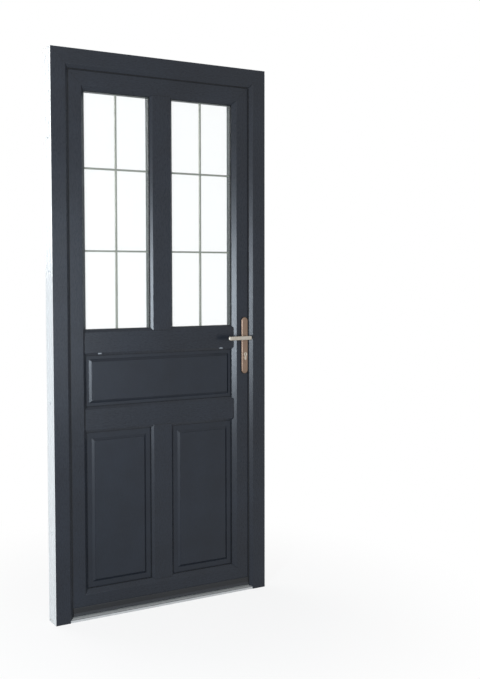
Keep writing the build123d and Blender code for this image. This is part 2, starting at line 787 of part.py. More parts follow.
def keep_plate(height, half, screws):
    """A steel keep on the frame's rebate, with a hole for each bolt and clipped corners."""
    middle = GROOVE_DEPTH_MID
    wide = GROOVE_WIDTH / 2
    plate = block(REBATE_X - KEEP_THICK, REBATE_X, middle - wide, middle + wide, height - half, height + half)
    plate = chamfer(plate.edges().filter_by(Axis.X), KEEP_CORNER)
    return cut_all(plate, bolt_pockets() + screws)


# Leaf pieces

def leaf_profiles(screws):
    """Stiles and rails, and the cross rails and mullions coped on to them."""
    solid = leaf_face(hollow=False)
    hollow = leaf_face()
    bodies = {side: member(solid, side, LEAF_BOX) for side in ("left", "right", "top", "bottom")}
    pieces = {
        "stile_hinge_side": cut_all(member(hollow, "left", LEAF_BOX), screws),
        "stile_lock_side": cut_all(member(hollow, "right", LEAF_BOX), lock_pockets() + screws),
        "top_rail": member(hollow, "top", LEAF_BOX),
        "bottom_rail": member(hollow, "bottom", LEAF_BOX),
    }
    left = -LEAF_X + FLOOR
    right = LEAF_X - FLOOR
    uprights = [bodies["left"], bodies["right"]]
    section = rail_face()
    plain = rail_face(hollow=False)
    for name, height in (("upper", UPPER_RAIL_HEIGHT), ("lower", LOWER_RAIL_HEIGHT)):
        pieces["cross_rail_" + name] = cut_all(rail(section, left, right, height), uprights)
        bodies[name] = rail(plain, left, right, height)
    top = LEAF_TOP - FLOOR
    bottom = LEAF_BOTTOM + FLOOR
    upper = mullion(section, 0, UPPER_RAIL_HEIGHT + RAIL_FLOOR, top)
    lower = mullion(section, 0, bottom, LOWER_RAIL_HEIGHT - RAIL_FLOOR)
    pieces["mullion_upper"] = cut_all(upper, [bodies["top"], bodies["upper"]])
    pieces["mullion_lower"] = cut_all(lower, [bodies["bottom"], bodies["lower"]])
    return pieces


def leaf_steel(screws):
    """Galvanised tubes in the chambers of the leaf's profiles."""
    tube = tube_face(*LEAF_STEEL)
    gap = STEEL_END_GAP
    left, right, bottom, top = LEAF_BOX
    tall = (left, right, bottom + gap, top - gap)
    wide = (left + gap, right - gap, bottom, top)
    steel = cut_all(member(tube, "right", tall, False, False), lock_pockets() + screws)
    steel += cut_all(member(tube, "left", tall, False, False), screws)
    steel += member(tube, "top", wide, False, False)
    steel += member(tube, "bottom", wide, False, False)
    tube = tube_face(*RAIL_STEEL)
    end = LEAF_X - FLOOR - 2
    for height in (UPPER_RAIL_HEIGHT, LOWER_RAIL_HEIGHT):
        steel += rail(tube, -end, end, height)
    steel += mullion(tube, 0, UPPER_RAIL_HEIGHT + RAIL_FLOOR + 2, LEAF_TOP - FLOOR - 2)
    steel += mullion(tube, 0, LEAF_BOTTOM + FLOOR + 2, LOWER_RAIL_HEIGHT - RAIL_FLOOR - 2)
    return steel


def glass_pieces(side, opening):
    """A sealed double-glazed unit: two panes, a spacer between them and a grid of bars."""
    edge = REBATE - UNIT_EDGE_PLAY
    left, right, bottom, top = grow(opening, edge)
    inner = UNIT_FRONT + PANE
    outer_pane = block(left, right, UNIT_FRONT, inner, bottom, top)
    inner_pane = block(left, right, inner + CAVITY, UNIT_BACK, bottom, top)
    spacer_near = edge + SEAL_PROUD - SPACER_DEPTH
    spacer = ring(grow(opening, edge), spacer_near, edge + SEAL_PROUD, inner, inner + CAVITY)
    left, right, bottom, top = grow(opening, -SEAL_PROUD)
    middle = inner + CAVITY / 2
    front = middle - BAR_THICK / 2
    back = middle + BAR_THICK / 2
    half = BAR_WIDTH / 2
    centre = (left + right) / 2
    bars = block(centre - half, centre + half, front, back, bottom, top)
    low = opening[2] + BAR_LOW_ROW
    for height in (low, low + BAR_MIDDLE_ROW):
        bars += block(left, right, front, back, height - half, height + half)
    return {
        "glass_" + side: outer_pane + inner_pane,
        "spacer_" + side: spacer,
        "glazing_bars_" + side: bars,
    }


def panel(opening, border):
    """An insulated panel with a raised field on both faces: border, slope, step and field."""
    left, right, bottom, top = grow(opening, REBATE - UNIT_EDGE_PLAY)
    solid = block(left, right, UNIT_FRONT, UNIT_BACK, bottom, top)
    field = grow(opening, -border)
    x = (field[0] + field[1]) / 2
    height = (field[2] + field[3]) / 2
    rise = PANEL_RAISE - PANEL_STEP
    base = Rectangle(field[1] - field[0], field[3] - field[2])
    crown = Rectangle(field[1] - field[0] - 2 * PANEL_SLOPE, field[3] - field[2] - 2 * PANEL_SLOPE)
    for depth, outwards in ((UNIT_FRONT, -1), (UNIT_BACK, 1)):
        plane = Plane((x, depth - FRAME_DEPTH / 2, height), (1, 0, 0), (0, outwards, 0))
        taper = degrees(atan(PANEL_SLOPE / rise))
        solid += extrude(plane * base, amount=rise, taper=taper)
        solid += extrude(plane * crown, amount=PANEL_RAISE)
    return solid


def beads(openings):
    face = bead_face()
    solids = []
    for opening in openings:
        floor_box = grow(opening, REBATE)
        solids += [member(face, side, floor_box) for side in ("left", "top", "right", "bottom")]
    return solids


def glazing_seals(openings):
    """Outer and inner rubber seals that hold each unit and panel."""
    solids = []
    for opening in openings:
        box = grow(opening, SEAL_WIDTH - SEAL_PROUD)
        for front in (NIB_BACK, UNIT_BACK):
            solids.append(ring(box, 0, SEAL_WIDTH, front, front + SEAL_THICK))
    return solids


def leaf_seal():
    """Rubber seal on the inner lip, closing on the inner face of the frame."""
    near = LEAF_SEAL_EDGE - LEAF_LIP_REACH
    return ring(LEAF_BOX, near, near + LEAF_SEAL_WIDTH, FRAME_DEPTH + RUNNING_GAP, LEAF_LIP_FRONT)


def weather_bar():
    """Dark drip profile across the foot of the leaf, with a nose that throws rain off."""
    face = LEAF_SETBACK
    thick = WEATHER_BAR_THICK
    nose = WEATHER_BAR_NOSE
    foot = LEAF_BOTTOM - WEATHER_BAR_DROP
    top = LEAF_BOTTOM + WEATHER_BAR_HEIGHT
    section = polygon([
        (face, top),
        (face - thick + 1, top),
        (face - thick, top - 2),
        (face - thick, foot + 9),
        (face - nose + 1, foot + 4),
        (face - nose, foot),
        (face - nose + 2, foot),
        (face - thick + 1, foot + 4),
        (face, foot + 5),
    ])
    plane = Plane((-weather_bar_end(), -FRAME_DEPTH / 2, 0), (0, 1, 0), (1, 0, 0))
    return plane.location * extrude(section, amount=2 * weather_bar_end())


def weather_bar_end():
    return HALF_WIDTH - FRAME_REACH - FRAME_SEAL_PROUD - 1.0


def bottom_brush():
    """Brush strip under the leaf that sweeps the core of the threshold."""
    middle = (THRESHOLD_BREAK + GROOVE_DEPTH_MID - GROOVE_WIDTH / 2) / 2 + 1
    half = BRUSH_WIDTH / 2
    low = THRESHOLD_HEIGHT - THRESHOLD_CORE_DROP + RUNNING_GAP
    return block(-LEAF_X + 2, LEAF_X - 2, middle - half, middle + half, low, LEAF_BOTTOM)


def drain_caps():
    """Two small hoods over the drain slots in the lower slope of the upper cross rail."""
    solids = []
    low = UPPER_RAIL_HEIGHT - RAIL_FACE / 2 - DRAIN_CAP_HEIGHT
    half = DRAIN_CAP_WIDTH / 2
    for x in (SIGHT_LEFT + DRAIN_CAP_INSET, SIGHT_RIGHT - DRAIN_CAP_INSET):
        hood = block(x - half, x + half, RAIL_FRONT - DRAIN_CAP_THICK / 2, NIB_BACK, low, low + DRAIN_CAP_HEIGHT)
        hood = fillet(hood.edges().filter_by(Axis.Z).group_by(Axis.Y)[0], DRAIN_CAP_THICK / 2)
        solids.append(hood - rail(rail_face(hollow=False), x - half - 1, x + half + 1, UPPER_RAIL_HEIGHT))
    return solids


# Lock pieces

def lock_case_box():
    half = LOCK_CASE_THICK / 2
    return (
        LEAF_X - LOCK_CASE_BACK,
        LEAF_X - FACEPLATE_THICK,
        GROOVE_DEPTH_MID - half,
        GROOVE_DEPTH_MID + half,
        CYLINDER_HEIGHT - LOCK_CASE_BELOW,
        LEVER_HEIGHT + LOCK_CASE_ABOVE,
    )


def end_case_box(height):
    half = LOCK_CASE_THICK / 2
    return (
        LEAF_X - END_CASE_BACK,
        LEAF_X - FACEPLATE_THICK,
        GROOVE_DEPTH_MID - half,
        GROOVE_DEPTH_MID + half,
        height - END_CASE_HALF,
        height + END_CASE_HALF,
    )


def widen(box, by):
    left, right, front, back, bottom, top = box
    return (left - by, right, front - by, back + by, bottom - by, top + by)


def lock_pockets():
    """What is milled out of the lock stile and its steel for the lock and the handle."""
    front = LEAF_SETBACK - 1
    back = LEAF_BACK + 1
    pockets = [block(*widen(lock_case_box(), POCKET_PLAY))]
    pockets += [block(*widen(end_case_box(height), POCKET_PLAY)) for height in END_CASE_HEIGHTS]
    neck = LEVER_NECK + POCKET_PLAY
    wide = CYLINDER_RADIUS + POCKET_PLAY
    low = CYLINDER_HEIGHT - CYLINDER_TAIL_DROP - POCKET_PLAY
    pockets.append(block(HANDLE_X - neck, HANDLE_X + neck, front, back, LEVER_HEIGHT - neck, LEVER_HEIGHT + neck))
    pockets.append(block(HANDLE_X - wide, HANDLE_X + wide, front, back, low, CYLINDER_HEIGHT + wide))
    pockets.append(cylinder_screw())
    return pockets + plate_screws()


def lock_cases():
    """Sheet-steel cases of the main lock and of the two end bolts."""
    wall = LOCK_CASE_WALL
    solids = []
    for box in [lock_case_box()] + [end_case_box(height) for height in END_CASE_HEIGHTS]:
        left, right, front, back, bottom, top = box
        case = block(*box)
        solids.append(case - block(left + wall, right + 1, front + wall, back - wall, bottom + wall, top - wall))
    front, back = lock_case_box()[2:4]
    main = solids[0]
    main -= rod_inwards(HANDLE_X, LEVER_HEIGHT, FOLLOWER_HUB + SPINDLE_PLAY, front - 1, back + 1)
    main -= plate_shape(cylinder_outline(POCKET_PLAY), HANDLE_X, CYLINDER_HEIGHT, front - 1, back + 1)
    solids[0] = cut_all(main, plate_screws())
    return solids


def bolt_hole(height, tall, thick, play):
    half = thick / 2 + play
    middle = GROOVE_DEPTH_MID
    low = height - tall / 2 - play
    return block(LEAF_X - FACEPLATE_THICK - 1, LEAF_X + 1, middle - half, middle + half, low, low + tall + 2 * play)


def faceplate(screws):
    """Long steel strip in the groove of the lock stile."""
    wide = GROOVE_WIDTH / 2
    middle = GROOVE_DEPTH_MID
    strip = block(LEAF_X - FACEPLATE_THICK, LEAF_X, middle - wide, middle + wide, FACEPLATE_BOTTOM, FACEPLATE_TOP)
    strip = fillet(strip.edges().filter_by(Axis.X), GROOVE_WIDTH / 2 - 0.5)
    for height, tall in bolt_heights():
        strip -= bolt_hole(height, tall, BOLT_THICK, RUNNING_GAP)
    return cut_all(strip, screws + [cylinder_screw()])


def latch_bolt():
    """Latch with a slanted nose; it stops just short of the keep."""
    half = BOLT_THICK / 2
    tip = LEAF_X + LATCH_PROUD
    root = LEAF_X - LATCH_TAIL
    section = polygon([
        (root, -half),
        (tip, -half),
        (tip, -half + LATCH_NOSE),
        (LEAF_X + RUNNING_GAP, half),
        (root, half),
    ])
    low = LATCH_HEIGHT_MID - LATCH_HEIGHT / 2
    place = Pos(0, GROOVE_DEPTH_MID - FRAME_DEPTH / 2, low)
    return place * extrude(section, amount=LATCH_HEIGHT)


def bolt(height, tall, length):
    half = BOLT_THICK / 2
    middle = GROOVE_DEPTH_MID
    solid = block(LEAF_X - length, LEAF_X, middle - half, middle + half, height - tall / 2, height + tall / 2)
    return chamfer(solid.edges().filter_by(Axis.Z).group_by(Axis.X)[-1], BOLT_EDGE)


def locking_rods():
    """Two flat rods behind the faceplate, from the main lock to the end bolts."""
    half = ROD_WIDTH / 2
    middle = GROOVE_DEPTH_MID
    right = LEAF_X - FACEPLATE_THICK - RUNNING_GAP
    main = lock_case_box()
    low = end_case_box(END_CASE_HEIGHTS[0])
    high = end_case_box(END_CASE_HEIGHTS[1])
    spare = ROD_END_GAP
    lower = block(
        right - ROD_THICK, right, middle - half, middle + half, low[5] + spare, main[4] - ROD_TRAVEL - spare
    )
    upper = block(
        right - ROD_THICK, right, middle - half, middle + half, main[5] + spare, high[4] - ROD_TRAVEL - spare
    )
    return [lower, upper]


def follower():
    """Nut in the lock case, nearly round, that the square spindle turns."""
    front, back = lock_case_box()[2:4]
    inner_front = front + LOCK_CASE_WALL + RUNNING_GAP
    inner_back = back - LOCK_CASE_WALL - RUNNING_GAP
    rim = RegularPolygon(FOLLOWER_RADIUS, FOLLOWER_FLATS)
    hub = RegularPolygon(FOLLOWER_HUB, FOLLOWER_FLATS)
    nut = plate_shape(rim, HANDLE_X, LEVER_HEIGHT, inner_front, inner_back)
    nut += plate_shape(hub, HANDLE_X, LEVER_HEIGHT, front, back)
    return nut - square_bar(SPINDLE + SPINDLE_PLAY, front - 1, back + 1)


def square_bar(size, front, back):
    half = size / 2
    return block(HANDLE_X - half, HANDLE_X + half, front, back, LEVER_HEIGHT - half, LEVER_HEIGHT + half)


def lock_cylinder():
    """Body of the profile cylinder, open in the middle where the cam turns."""
    front = LEAF_SETBACK - PLATE_THICK - CYLINDER_PROUD
    back = LEAF_BACK + PLATE_THICK + CYLINDER_PROUD
    body = plate_shape(cylinder_outline(), HANDLE_X, CYLINDER_HEIGHT, front, back)
    body -= rod_inwards(HANDLE_X, CYLINDER_HEIGHT, PLUG_RADIUS + PLUG_PLAY, front - 1, back + 1)
    half = CAM_WIDTH / 2 + RUNNING_GAP
    middle = GROOVE_DEPTH_MID
    body -= rod_inwards(HANDLE_X, CYLINDER_HEIGHT, CAM_RADIUS + RUNNING_GAP, middle - half, middle + half)
    return body - cylinder_screw()


def cylinder_plug():
    """Rotor of the cylinder with its driving cam and a keyway at each end."""
    front = LEAF_SETBACK - PLATE_THICK - CYLINDER_PROUD
    back = LEAF_BACK + PLATE_THICK + CYLINDER_PROUD
    middle = GROOVE_DEPTH_MID
    half = CAM_WIDTH / 2
    plug = rod_inwards(HANDLE_X, CYLINDER_HEIGHT, PLUG_RADIUS, front, back)
    plug += rod_inwards(HANDLE_X, CYLINDER_HEIGHT, CYLINDER_RADIUS, middle - half, middle + half)
    wide = CAM_NOSE / 2
    reach = sqrt(CAM_RADIUS ** 2 - wide ** 2)
    plug += block(
        HANDLE_X - wide, HANDLE_X + wide, middle - half, middle + half, CYLINDER_HEIGHT - reach, CYLINDER_HEIGHT
    )
    slot = KEYWAY_WIDTH / 2
    tall = KEYWAY_HEIGHT / 2
    for start, end in ((front - 1, front + KEYWAY_DEPTH), (back - KEYWAY_DEPTH, back + 1)):
        plug -= block(HANDLE_X - slot, HANDLE_X + slot, start, end, CYLINDER_HEIGHT - tall, CYLINDER_HEIGHT + tall)
    return plug


def handle_plate(front, back, outside):
    """Long plate with round ends, softened edges and holes for the lever and the cylinder."""
    tall = PLATE_ABOVE + PLATE_BELOW
    middle = LEVER_HEIGHT + (PLATE_ABOVE - PLATE_BELOW) / 2
    outline = SlotOverall(tall, PLATE_WIDTH, rotation=90)
    plate = plate_shape(outline, HANDLE_X, middle, front, back)
    rim = plate.edges().group_by(Axis.Y)[0 if outside else -1]
    plate = chamfer(rim, PLATE_BEVEL)
    plate -= rod_inwards(HANDLE_X, LEVER_HEIGHT, LEVER_NECK + LEVER_PLAY, front - 1, back + 1)
    plate -= plate_shape(cylinder_outline(POCKET_PLAY), HANDLE_X, CYLINDER_HEIGHT, front - 1, back + 1)
    return cut_all(plate, plate_screws())


def lever(plate_face, outwards):
    """Straight lever: a round neck through the plate and a flat bar with soft edges."""
    stand = LEVER_STAND + LEVER_BAR_THICK
    bar_front, bar_back = sorted((plate_face + outwards * LEVER_STAND, plate_face + outwards * stand))
    half = LEVER_BAR_HEIGHT / 2
    bar = block(
        HANDLE_X - LEVER_LENGTH, HANDLE_X + LEVER_TAIL, bar_front, bar_back, LEVER_HEIGHT - half, LEVER_HEIGHT + half
    )
    bar = fillet(bar.edges().filter_by(Axis.X), LEVER_ROUND)
    root = plate_face - outwards * PLATE_THICK / 2
    neck_end = plate_face + outwards * (LEVER_STAND + LEVER_BAR_THICK / 2)
    front, back = sorted((root, neck_end))
    neck = rod_inwards(HANDLE_X, LEVER_HEIGHT, LEVER_NECK, front, back)
    socket_front, socket_back = sorted((root - outwards, plate_face + outwards * LEVER_STAND / 2))
    return bar + neck - square_bar(SPINDLE + SPINDLE_PLAY, socket_front, socket_back)


def spindle():
    front = LEAF_SETBACK - PLATE_THICK - LEVER_STAND / 2 + 1
    back = LEAF_BACK + PLATE_THICK + LEVER_STAND / 2 - 1
    return square_bar(SPINDLE, front, back)


# Hinge pieces

def hinge_frame(height, screws):
    """Frame half of a hinge: a plate on the frame's inner face and the lower knuckle."""
    axis = -HINGE_AXIS_X
    outer = -HALF_WIDTH + HINGE_PLATE_EDGE
    inner = axis + HINGE_PLATE_INNER
    top = height + HINGE_FRAME_KNUCKLE
    plate = block(outer, inner, FRAME_DEPTH, FRAME_DEPTH + HINGE_PLATE, height - HINGE_PLATE_TAIL, top)
    plate += block(axis - HINGE_RADIUS, axis + 2, FRAME_DEPTH, HINGE_AXIS_DEPTH, height, top)
    plate += rod_upright(axis, HINGE_AXIS_DEPTH, height, top, HINGE_RADIUS)
    plate -= rod_upright(axis, HINGE_AXIS_DEPTH, height, top + 1, HINGE_PIN)
    return cut_all(plate, screws)


def hinge_leaf(height, screws):
    """Leaf half of a hinge: the upper knuckle and a wing on the leaf's inner face."""
    axis = -HINGE_AXIS_X
    bottom = height + HINGE_FRAME_KNUCKLE + HINGE_KNUCKLE_GAP
    top = bottom + HINGE_LEAF_KNUCKLE
    edge = -LEAF_X - LEAF_LIP_REACH
    wing = block(axis, edge + HINGE_WING_REACH, LEAF_BACK, LEAF_BACK + HINGE_WING, bottom, top)
    wing = chamfer(wing.edges().filter_by(Axis.Y).group_by(Axis.X)[-1], HINGE_PLATE_EDGE)
    wing += rod_upright(axis, HINGE_AXIS_DEPTH, bottom, top, HINGE_RADIUS)
    bore = rod_upright(axis, HINGE_AXIS_DEPTH, bottom - 1, top - 4, HINGE_PIN + PLUG_PLAY)
    return cut_all(wing - bore, screws)


def hinge_pin(height):
    top = height + HINGE_FRAME_KNUCKLE + HINGE_KNUCKLE_GAP + HINGE_LEAF_KNUCKLE - 5
    pin = rod_upright(-HINGE_AXIS_X, HINGE_AXIS_DEPTH, height, top, HINGE_PIN)
    return pin + rod_upright(-HINGE_AXIS_X, HINGE_AXIS_DEPTH, height - 2, height, HINGE_RADIUS - 1)


def build():
    lights = [LIGHT_LEFT, LIGHT_RIGHT]
    panels = [OPENING_MIDDLE, OPENING_LOW_LEFT, OPENING_LOW_RIGHT]
    on_frame = frame_screws()
    on_leaf = leaf_screws()
    pieces = frame_pieces(on_frame)
    pieces["frame_seal"] = frame_seal()
    pieces.update(threshold_pieces(on_frame))
    pieces["keep_middle"] = keep_plate(keep_middle_height(), KEEP_MIDDLE_HALF, on_frame)
    pieces["keep_bottom"] = keep_plate(END_CASE_HEIGHTS[0], KEEP_END_HALF, on_frame)
    pieces["keep_top"] = keep_plate(END_CASE_HEIGHTS[1], KEEP_END_HALF, on_frame)
    pieces["frame_screws"] = Compound(on_frame)
    for name, height in zip(("bottom", "middle", "top"), HINGE_HEIGHTS):
        pieces["hinge_frame_" + name] = hinge_frame(height, on_frame)
        pieces["hinge_leaf_" + name] = hinge_leaf(height, on_leaf)
    pieces["hinge_pins"] = Compound([hinge_pin(height) for height in HINGE_HEIGHTS])

    pieces.update(leaf_profiles(on_leaf))
    pieces["leaf_steel"] = leaf_steel(on_leaf)
    pieces.update(glass_pieces("left", LIGHT_LEFT))
    pieces.update(glass_pieces("right", LIGHT_RIGHT))
    pieces["panel_middle"] = panel(OPENING_MIDDLE, MIDDLE_PANEL_BORDER)
    pieces["panel_lower_left"] = panel(OPENING_LOW_LEFT, PANEL_BORDER)
    pieces["panel_lower_right"] = panel(OPENING_LOW_RIGHT, PANEL_BORDER)
    pieces["beads_glass"] = Compound(beads(lights))
    pieces["beads_panels"] = Compound(beads(panels))
    pieces["glazing_seals"] = Compound(glazing_seals(lights + panels))
    pieces["leaf_seal"] = leaf_seal()
    pieces["weather_bar"] = weather_bar()
    pieces["bottom_brush"] = bottom_brush()
    pieces["drain_caps"] = Compound(drain_caps())

    pieces["faceplate"] = faceplate(on_leaf)
    pieces["lock_cases"] = Compound(lock_cases())
    pieces["latch_bolt"] = latch_bolt()
    pieces["dead_bolt"] = bolt(BOLT_HEIGHT_MID, BOLT_HEIGHT, BOLT_LENGTH)
    pieces["end_bolts"] = Compound([bolt(height, END_BOLT_HEIGHT, BOLT_LENGTH) for height in END_CASE_HEIGHTS])
    pieces["locking_rods"] = Compound(locking_rods())
    pieces["follower"] = follower()
    pieces["lock_cylinder"] = lock_cylinder()
    pieces["cylinder_plug"] = cylinder_plug()
    outer_face = LEAF_SETBACK - PLATE_THICK
    inner_face = LEAF_BACK + PLATE_THICK
    pieces["handle_plate_outer"] = handle_plate(outer_face, LEAF_SETBACK, outside=True)
    pieces["handle_plate_inner"] = handle_plate(LEAF_BACK, inner_face, outside=False)
    pieces["lever_outer"] = lever(outer_face, -1)
    pieces["lever_inner"] = lever(inner_face, 1)
    pieces["spindle"] = spindle()
    pieces["leaf_screws"] = Compound(on_leaf + plate_screws() + [cylinder_screw()])
    return pieces


os.makedirs("parts", exist_ok=True)
for name, shape in build().items():
    solids = shape.solids()
    export_step(solids[0] if len(solids) == 1 else Compound(solids), "parts/" + name + ".step")
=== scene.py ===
import json

import bpy
import numpy as np
from mathutils import Euler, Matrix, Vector


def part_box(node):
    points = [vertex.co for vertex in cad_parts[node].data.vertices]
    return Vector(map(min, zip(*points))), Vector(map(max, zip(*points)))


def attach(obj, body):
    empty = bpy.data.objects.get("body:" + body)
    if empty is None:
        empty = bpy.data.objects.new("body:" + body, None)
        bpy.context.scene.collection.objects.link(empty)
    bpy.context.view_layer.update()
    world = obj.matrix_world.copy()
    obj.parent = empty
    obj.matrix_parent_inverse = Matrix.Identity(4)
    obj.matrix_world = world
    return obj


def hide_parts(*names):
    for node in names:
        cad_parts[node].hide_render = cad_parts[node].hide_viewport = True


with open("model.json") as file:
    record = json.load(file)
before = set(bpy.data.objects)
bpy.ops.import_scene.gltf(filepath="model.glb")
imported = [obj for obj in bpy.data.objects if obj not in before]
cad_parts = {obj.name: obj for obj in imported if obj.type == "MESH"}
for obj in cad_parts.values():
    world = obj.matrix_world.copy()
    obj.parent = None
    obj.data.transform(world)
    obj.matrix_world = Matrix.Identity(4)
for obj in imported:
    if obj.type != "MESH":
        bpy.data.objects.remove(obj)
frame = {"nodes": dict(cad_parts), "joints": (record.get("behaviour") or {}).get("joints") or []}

scene = bpy.context.scene
scene.view_settings.view_transform = "Standard"
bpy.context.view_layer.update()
nodes = frame["nodes"]
joints = {joint["name"]: joint for joint in frame["joints"]}

# The photographer stands outside and to the left, with a slightly long lens held almost level.
# The door fills the left of the picture, so the lens is shifted instead of turned.

CAMERA_PLACE = (-1.765, -3.2556, 1.3047)
CAMERA_TURN = (87.32, 0.35, -27.77)
FOCAL_LENGTH = 48.83
LENS_SHIFT = (0.133, -0.020)

lens = bpy.data.cameras.new("photo_lens")
lens.lens = FOCAL_LENGTH
lens.shift_x, lens.shift_y = LENS_SHIFT
camera = bpy.data.objects.new("camera", lens)
camera.location = CAMERA_PLACE
camera.rotation_euler = Euler(np.radians(CAMERA_TURN))
scene.collection.objects.link(camera)
scene.camera = camera

# Four soft boxes light the door: a cool one on the left, which glances off every slope that
# faces it, one in front, one high up, and one from the room side for the white inner faces.

COOL, WARM, NEUTRAL = (0.80, 0.90, 1.0), (1.0, 0.98, 0.96), (1.0, 1.0, 1.0)


def soft_box(name, place, aim, size, watts, colour):
    """A rectangular lamp that faces a point."""
    lamp = bpy.data.lights.new(name, "AREA")
    lamp.shape = "RECTANGLE"
    lamp.size, lamp.size_y = size
    lamp.energy = watts
    lamp.color = colour
    holder = bpy.data.objects.new(name, lamp)
    holder.location = place
    holder.rotation_euler = (Vector(aim) - Vector(place)).to_track_quat("-Z", "Y").to_euler()
    scene.collection.objects.link(holder)


soft_box("left_light", (-1.95, -2.0, 1.12), (0, 0, 0.95), (0.30, 0.95), 66, COOL)
soft_box("front_light", (0.5, -3.0, 1.15), (-0.3, 0, 1.1), (0.8, 1.5), 13, COOL)
soft_box("high_light", (-0.6, -4.2, 3.4), (0, 0, 1.0), (2.4, 1.4), 26, WARM)
soft_box("room_light", (-1.5, 3.6, 2.6), (0, 0, 1.1), (3.0, 2.4), 110, NEUTRAL)

# The profiles are extruded white PVC. A grained anthracite film is welded over the faces that
# the weather reaches; inside, at the back grooves and in the rebates they stay bare white.


class Field:
    """A value that varies over a surface: one socket of a material's nodes, with arithmetic."""

    def __init__(self, tree, socket=None):
        self.tree = tree
        self.socket = socket

    def make(self, kind, settings=None, values=None, output=0):
        """Adds a node of a kind, with its settings first and then its sockets' values or links."""
        node = self.tree.nodes.new("ShaderNode" + kind)
        for name, value in (settings or {}).items():
            setattr(node, name, value)
        for name, value in (values or {}).items():
            if isinstance(value, Field):
                self.tree.links.new(value.socket, node.inputs[name])
            else:
                node.inputs[name].default_value = value
        return Field(self.tree, node.outputs[output])

    def maths(self, operation, first, second=0.0):
        return self.make("Math", {"operation": operation}, {0: first, 1: second})

    def __add__(self, other):
        return self.maths("ADD", self, other)

    def __sub__(self, other):
        return self.maths("SUBTRACT", self, other)

    def __rsub__(self, other):
        return self.maths("SUBTRACT", other, self)

    def __mul__(self, other):
        return self.maths("MULTIPLY", self, other)

    __radd__ = __add__
    __rmul__ = __mul__

    def size(self):
        return self.maths("ABSOLUTE", self)

    def rise(self, start, end):
        """0 below start and 1 above end, or the other way round where start is the larger."""
        values = {"Value": self, "From Min": start, "From Max": end}
        return self.make("MapRange", {"interpolation_type": "SMOOTHSTEP"}, values)

    def under(self, limit, blur=0.0001):
        """1 below a limit and 0 above it, across a blur of so many metres to either side."""
        return self.rise(limit + blur, limit - blur)

    def parts(self):
        """The three parts of a vector."""
        first = self.make("SeparateXYZ", None, {0: self})
        return [Field(self.tree, socket) for socket in first.socket.node.outputs]

    def noise(self, scale, detail=3.0, stretch=(1, 1, 1)):
        """Cloudy noise from 0 to 1; a stretch under 1 draws it out along that axis."""
        scaled = self.make("Mapping", None, {"Vector": self, "Scale": stretch})
        return self.make("TexNoise", None, {"Vector": scaled, "Scale": scale, "Detail": detail})

    def blend(self, first, second):
        """The first colour where this is 0 and the second where it is 1."""
        values = {0: self, 6: first, 7: second}
        return self.make("Mix", {"data_type": "RGBA"}, values, 2)


def paint(red, green, blue):
    """A colour as a screen shows it, 0 to 255, as linear light."""
    part = np.array([red, green, blue]) / 255
    linear = np.where(part < 0.04045, part / 12.92, ((part + 0.055) / 1.055) ** 2.4)
    return tuple(linear) + (1.0,)


def new_finish(name, constants):
    """A material with one shader, its constants set; returns both and the place on the object."""
    material = bpy.data.materials.new(name)
    material.use_nodes = True
    tree = material.node_tree
    shader = tree.nodes["Principled BSDF"]
    for socket, value in constants.items():
        shader.inputs[socket].default_value = value
    place = Field(tree).make("TexCoord", output="Object")
    return material, shader, place


def feed(shader, values):
    """Links fields to the shader's inputs of the given names."""
    for socket, value in values.items():
        value.tree.links.new(value.socket, shader.inputs[socket])


def bump(height, strength, depth, edge=0.0006):
    """A bump normal from a height field, over edges rounded by a small radius; metres."""
    rounded = height.make("Bevel", {"samples": 4}, {"Radius": edge})
    values = {"Height": height, "Strength": strength, "Distance": depth, "Normal": rounded}
    return height.make("Bump", None, values)


def dress(material, *names):
    """Puts a material on the whole of each named CAD node."""
    for name in names:
        for slot in nodes[name].material_slots:
            slot.material = material
        if not nodes[name].material_slots:
            nodes[name].data.materials.append(material)


FILM_DARK, FILM_LIGHT = paint(23, 27, 34), paint(31, 37, 46)
PVC_WHITE, PVC_SHADE = paint(216, 217, 216), paint(206, 207, 206)
SEAM_COLOUR = paint(14, 15, 17)
PORE_SCALE, PORE_STRETCH, CLOUD_SCALE, SPECKLE_SCALE = 1500, 0.06, 7, 900
GRAIN_STRENGTH, GRAIN_DEPTH = 0.35, 0.00025
SEAM_HALF = 0.0004

# How deep the film wraps round the edges, and how far it stops short of the outer sides.
FRAME_WRAP, LEAF_WRAP, FILM_SHORT = 0.0126, 0.0171, 0.0004
LEAF_FACE_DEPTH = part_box("stile_lock_side")[0].y
LEAF_FILM_DEPTH = LEAF_FACE_DEPTH + LEAF_WRAP
FRAME_FILM_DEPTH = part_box("frame_head")[0].y + FRAME_WRAP


def film_colour(place, along):
    """Film colour and its grain: fine pores drawn out along the profile, over slow clouds."""
    stretch = tuple(PORE_STRETCH if axis == along else 1.0 for axis in "xyz")
    pores = place.noise(PORE_SCALE, 4.0, stretch)
    clouds = place.noise(CLOUD_SCALE, 2.0)
    tone = (pores * 0.7 + clouds * 0.5 - 0.1).rise(0.25, 0.85)
    return tone.blend(FILM_DARK, FILM_LIGHT), pores


def bare_colour(place):
    """The colour of bare PVC and its fine speckle."""
    speckle = place.noise(SPECKLE_SCALE, 2.0)
    return speckle.blend(PVC_SHADE, PVC_WHITE), speckle


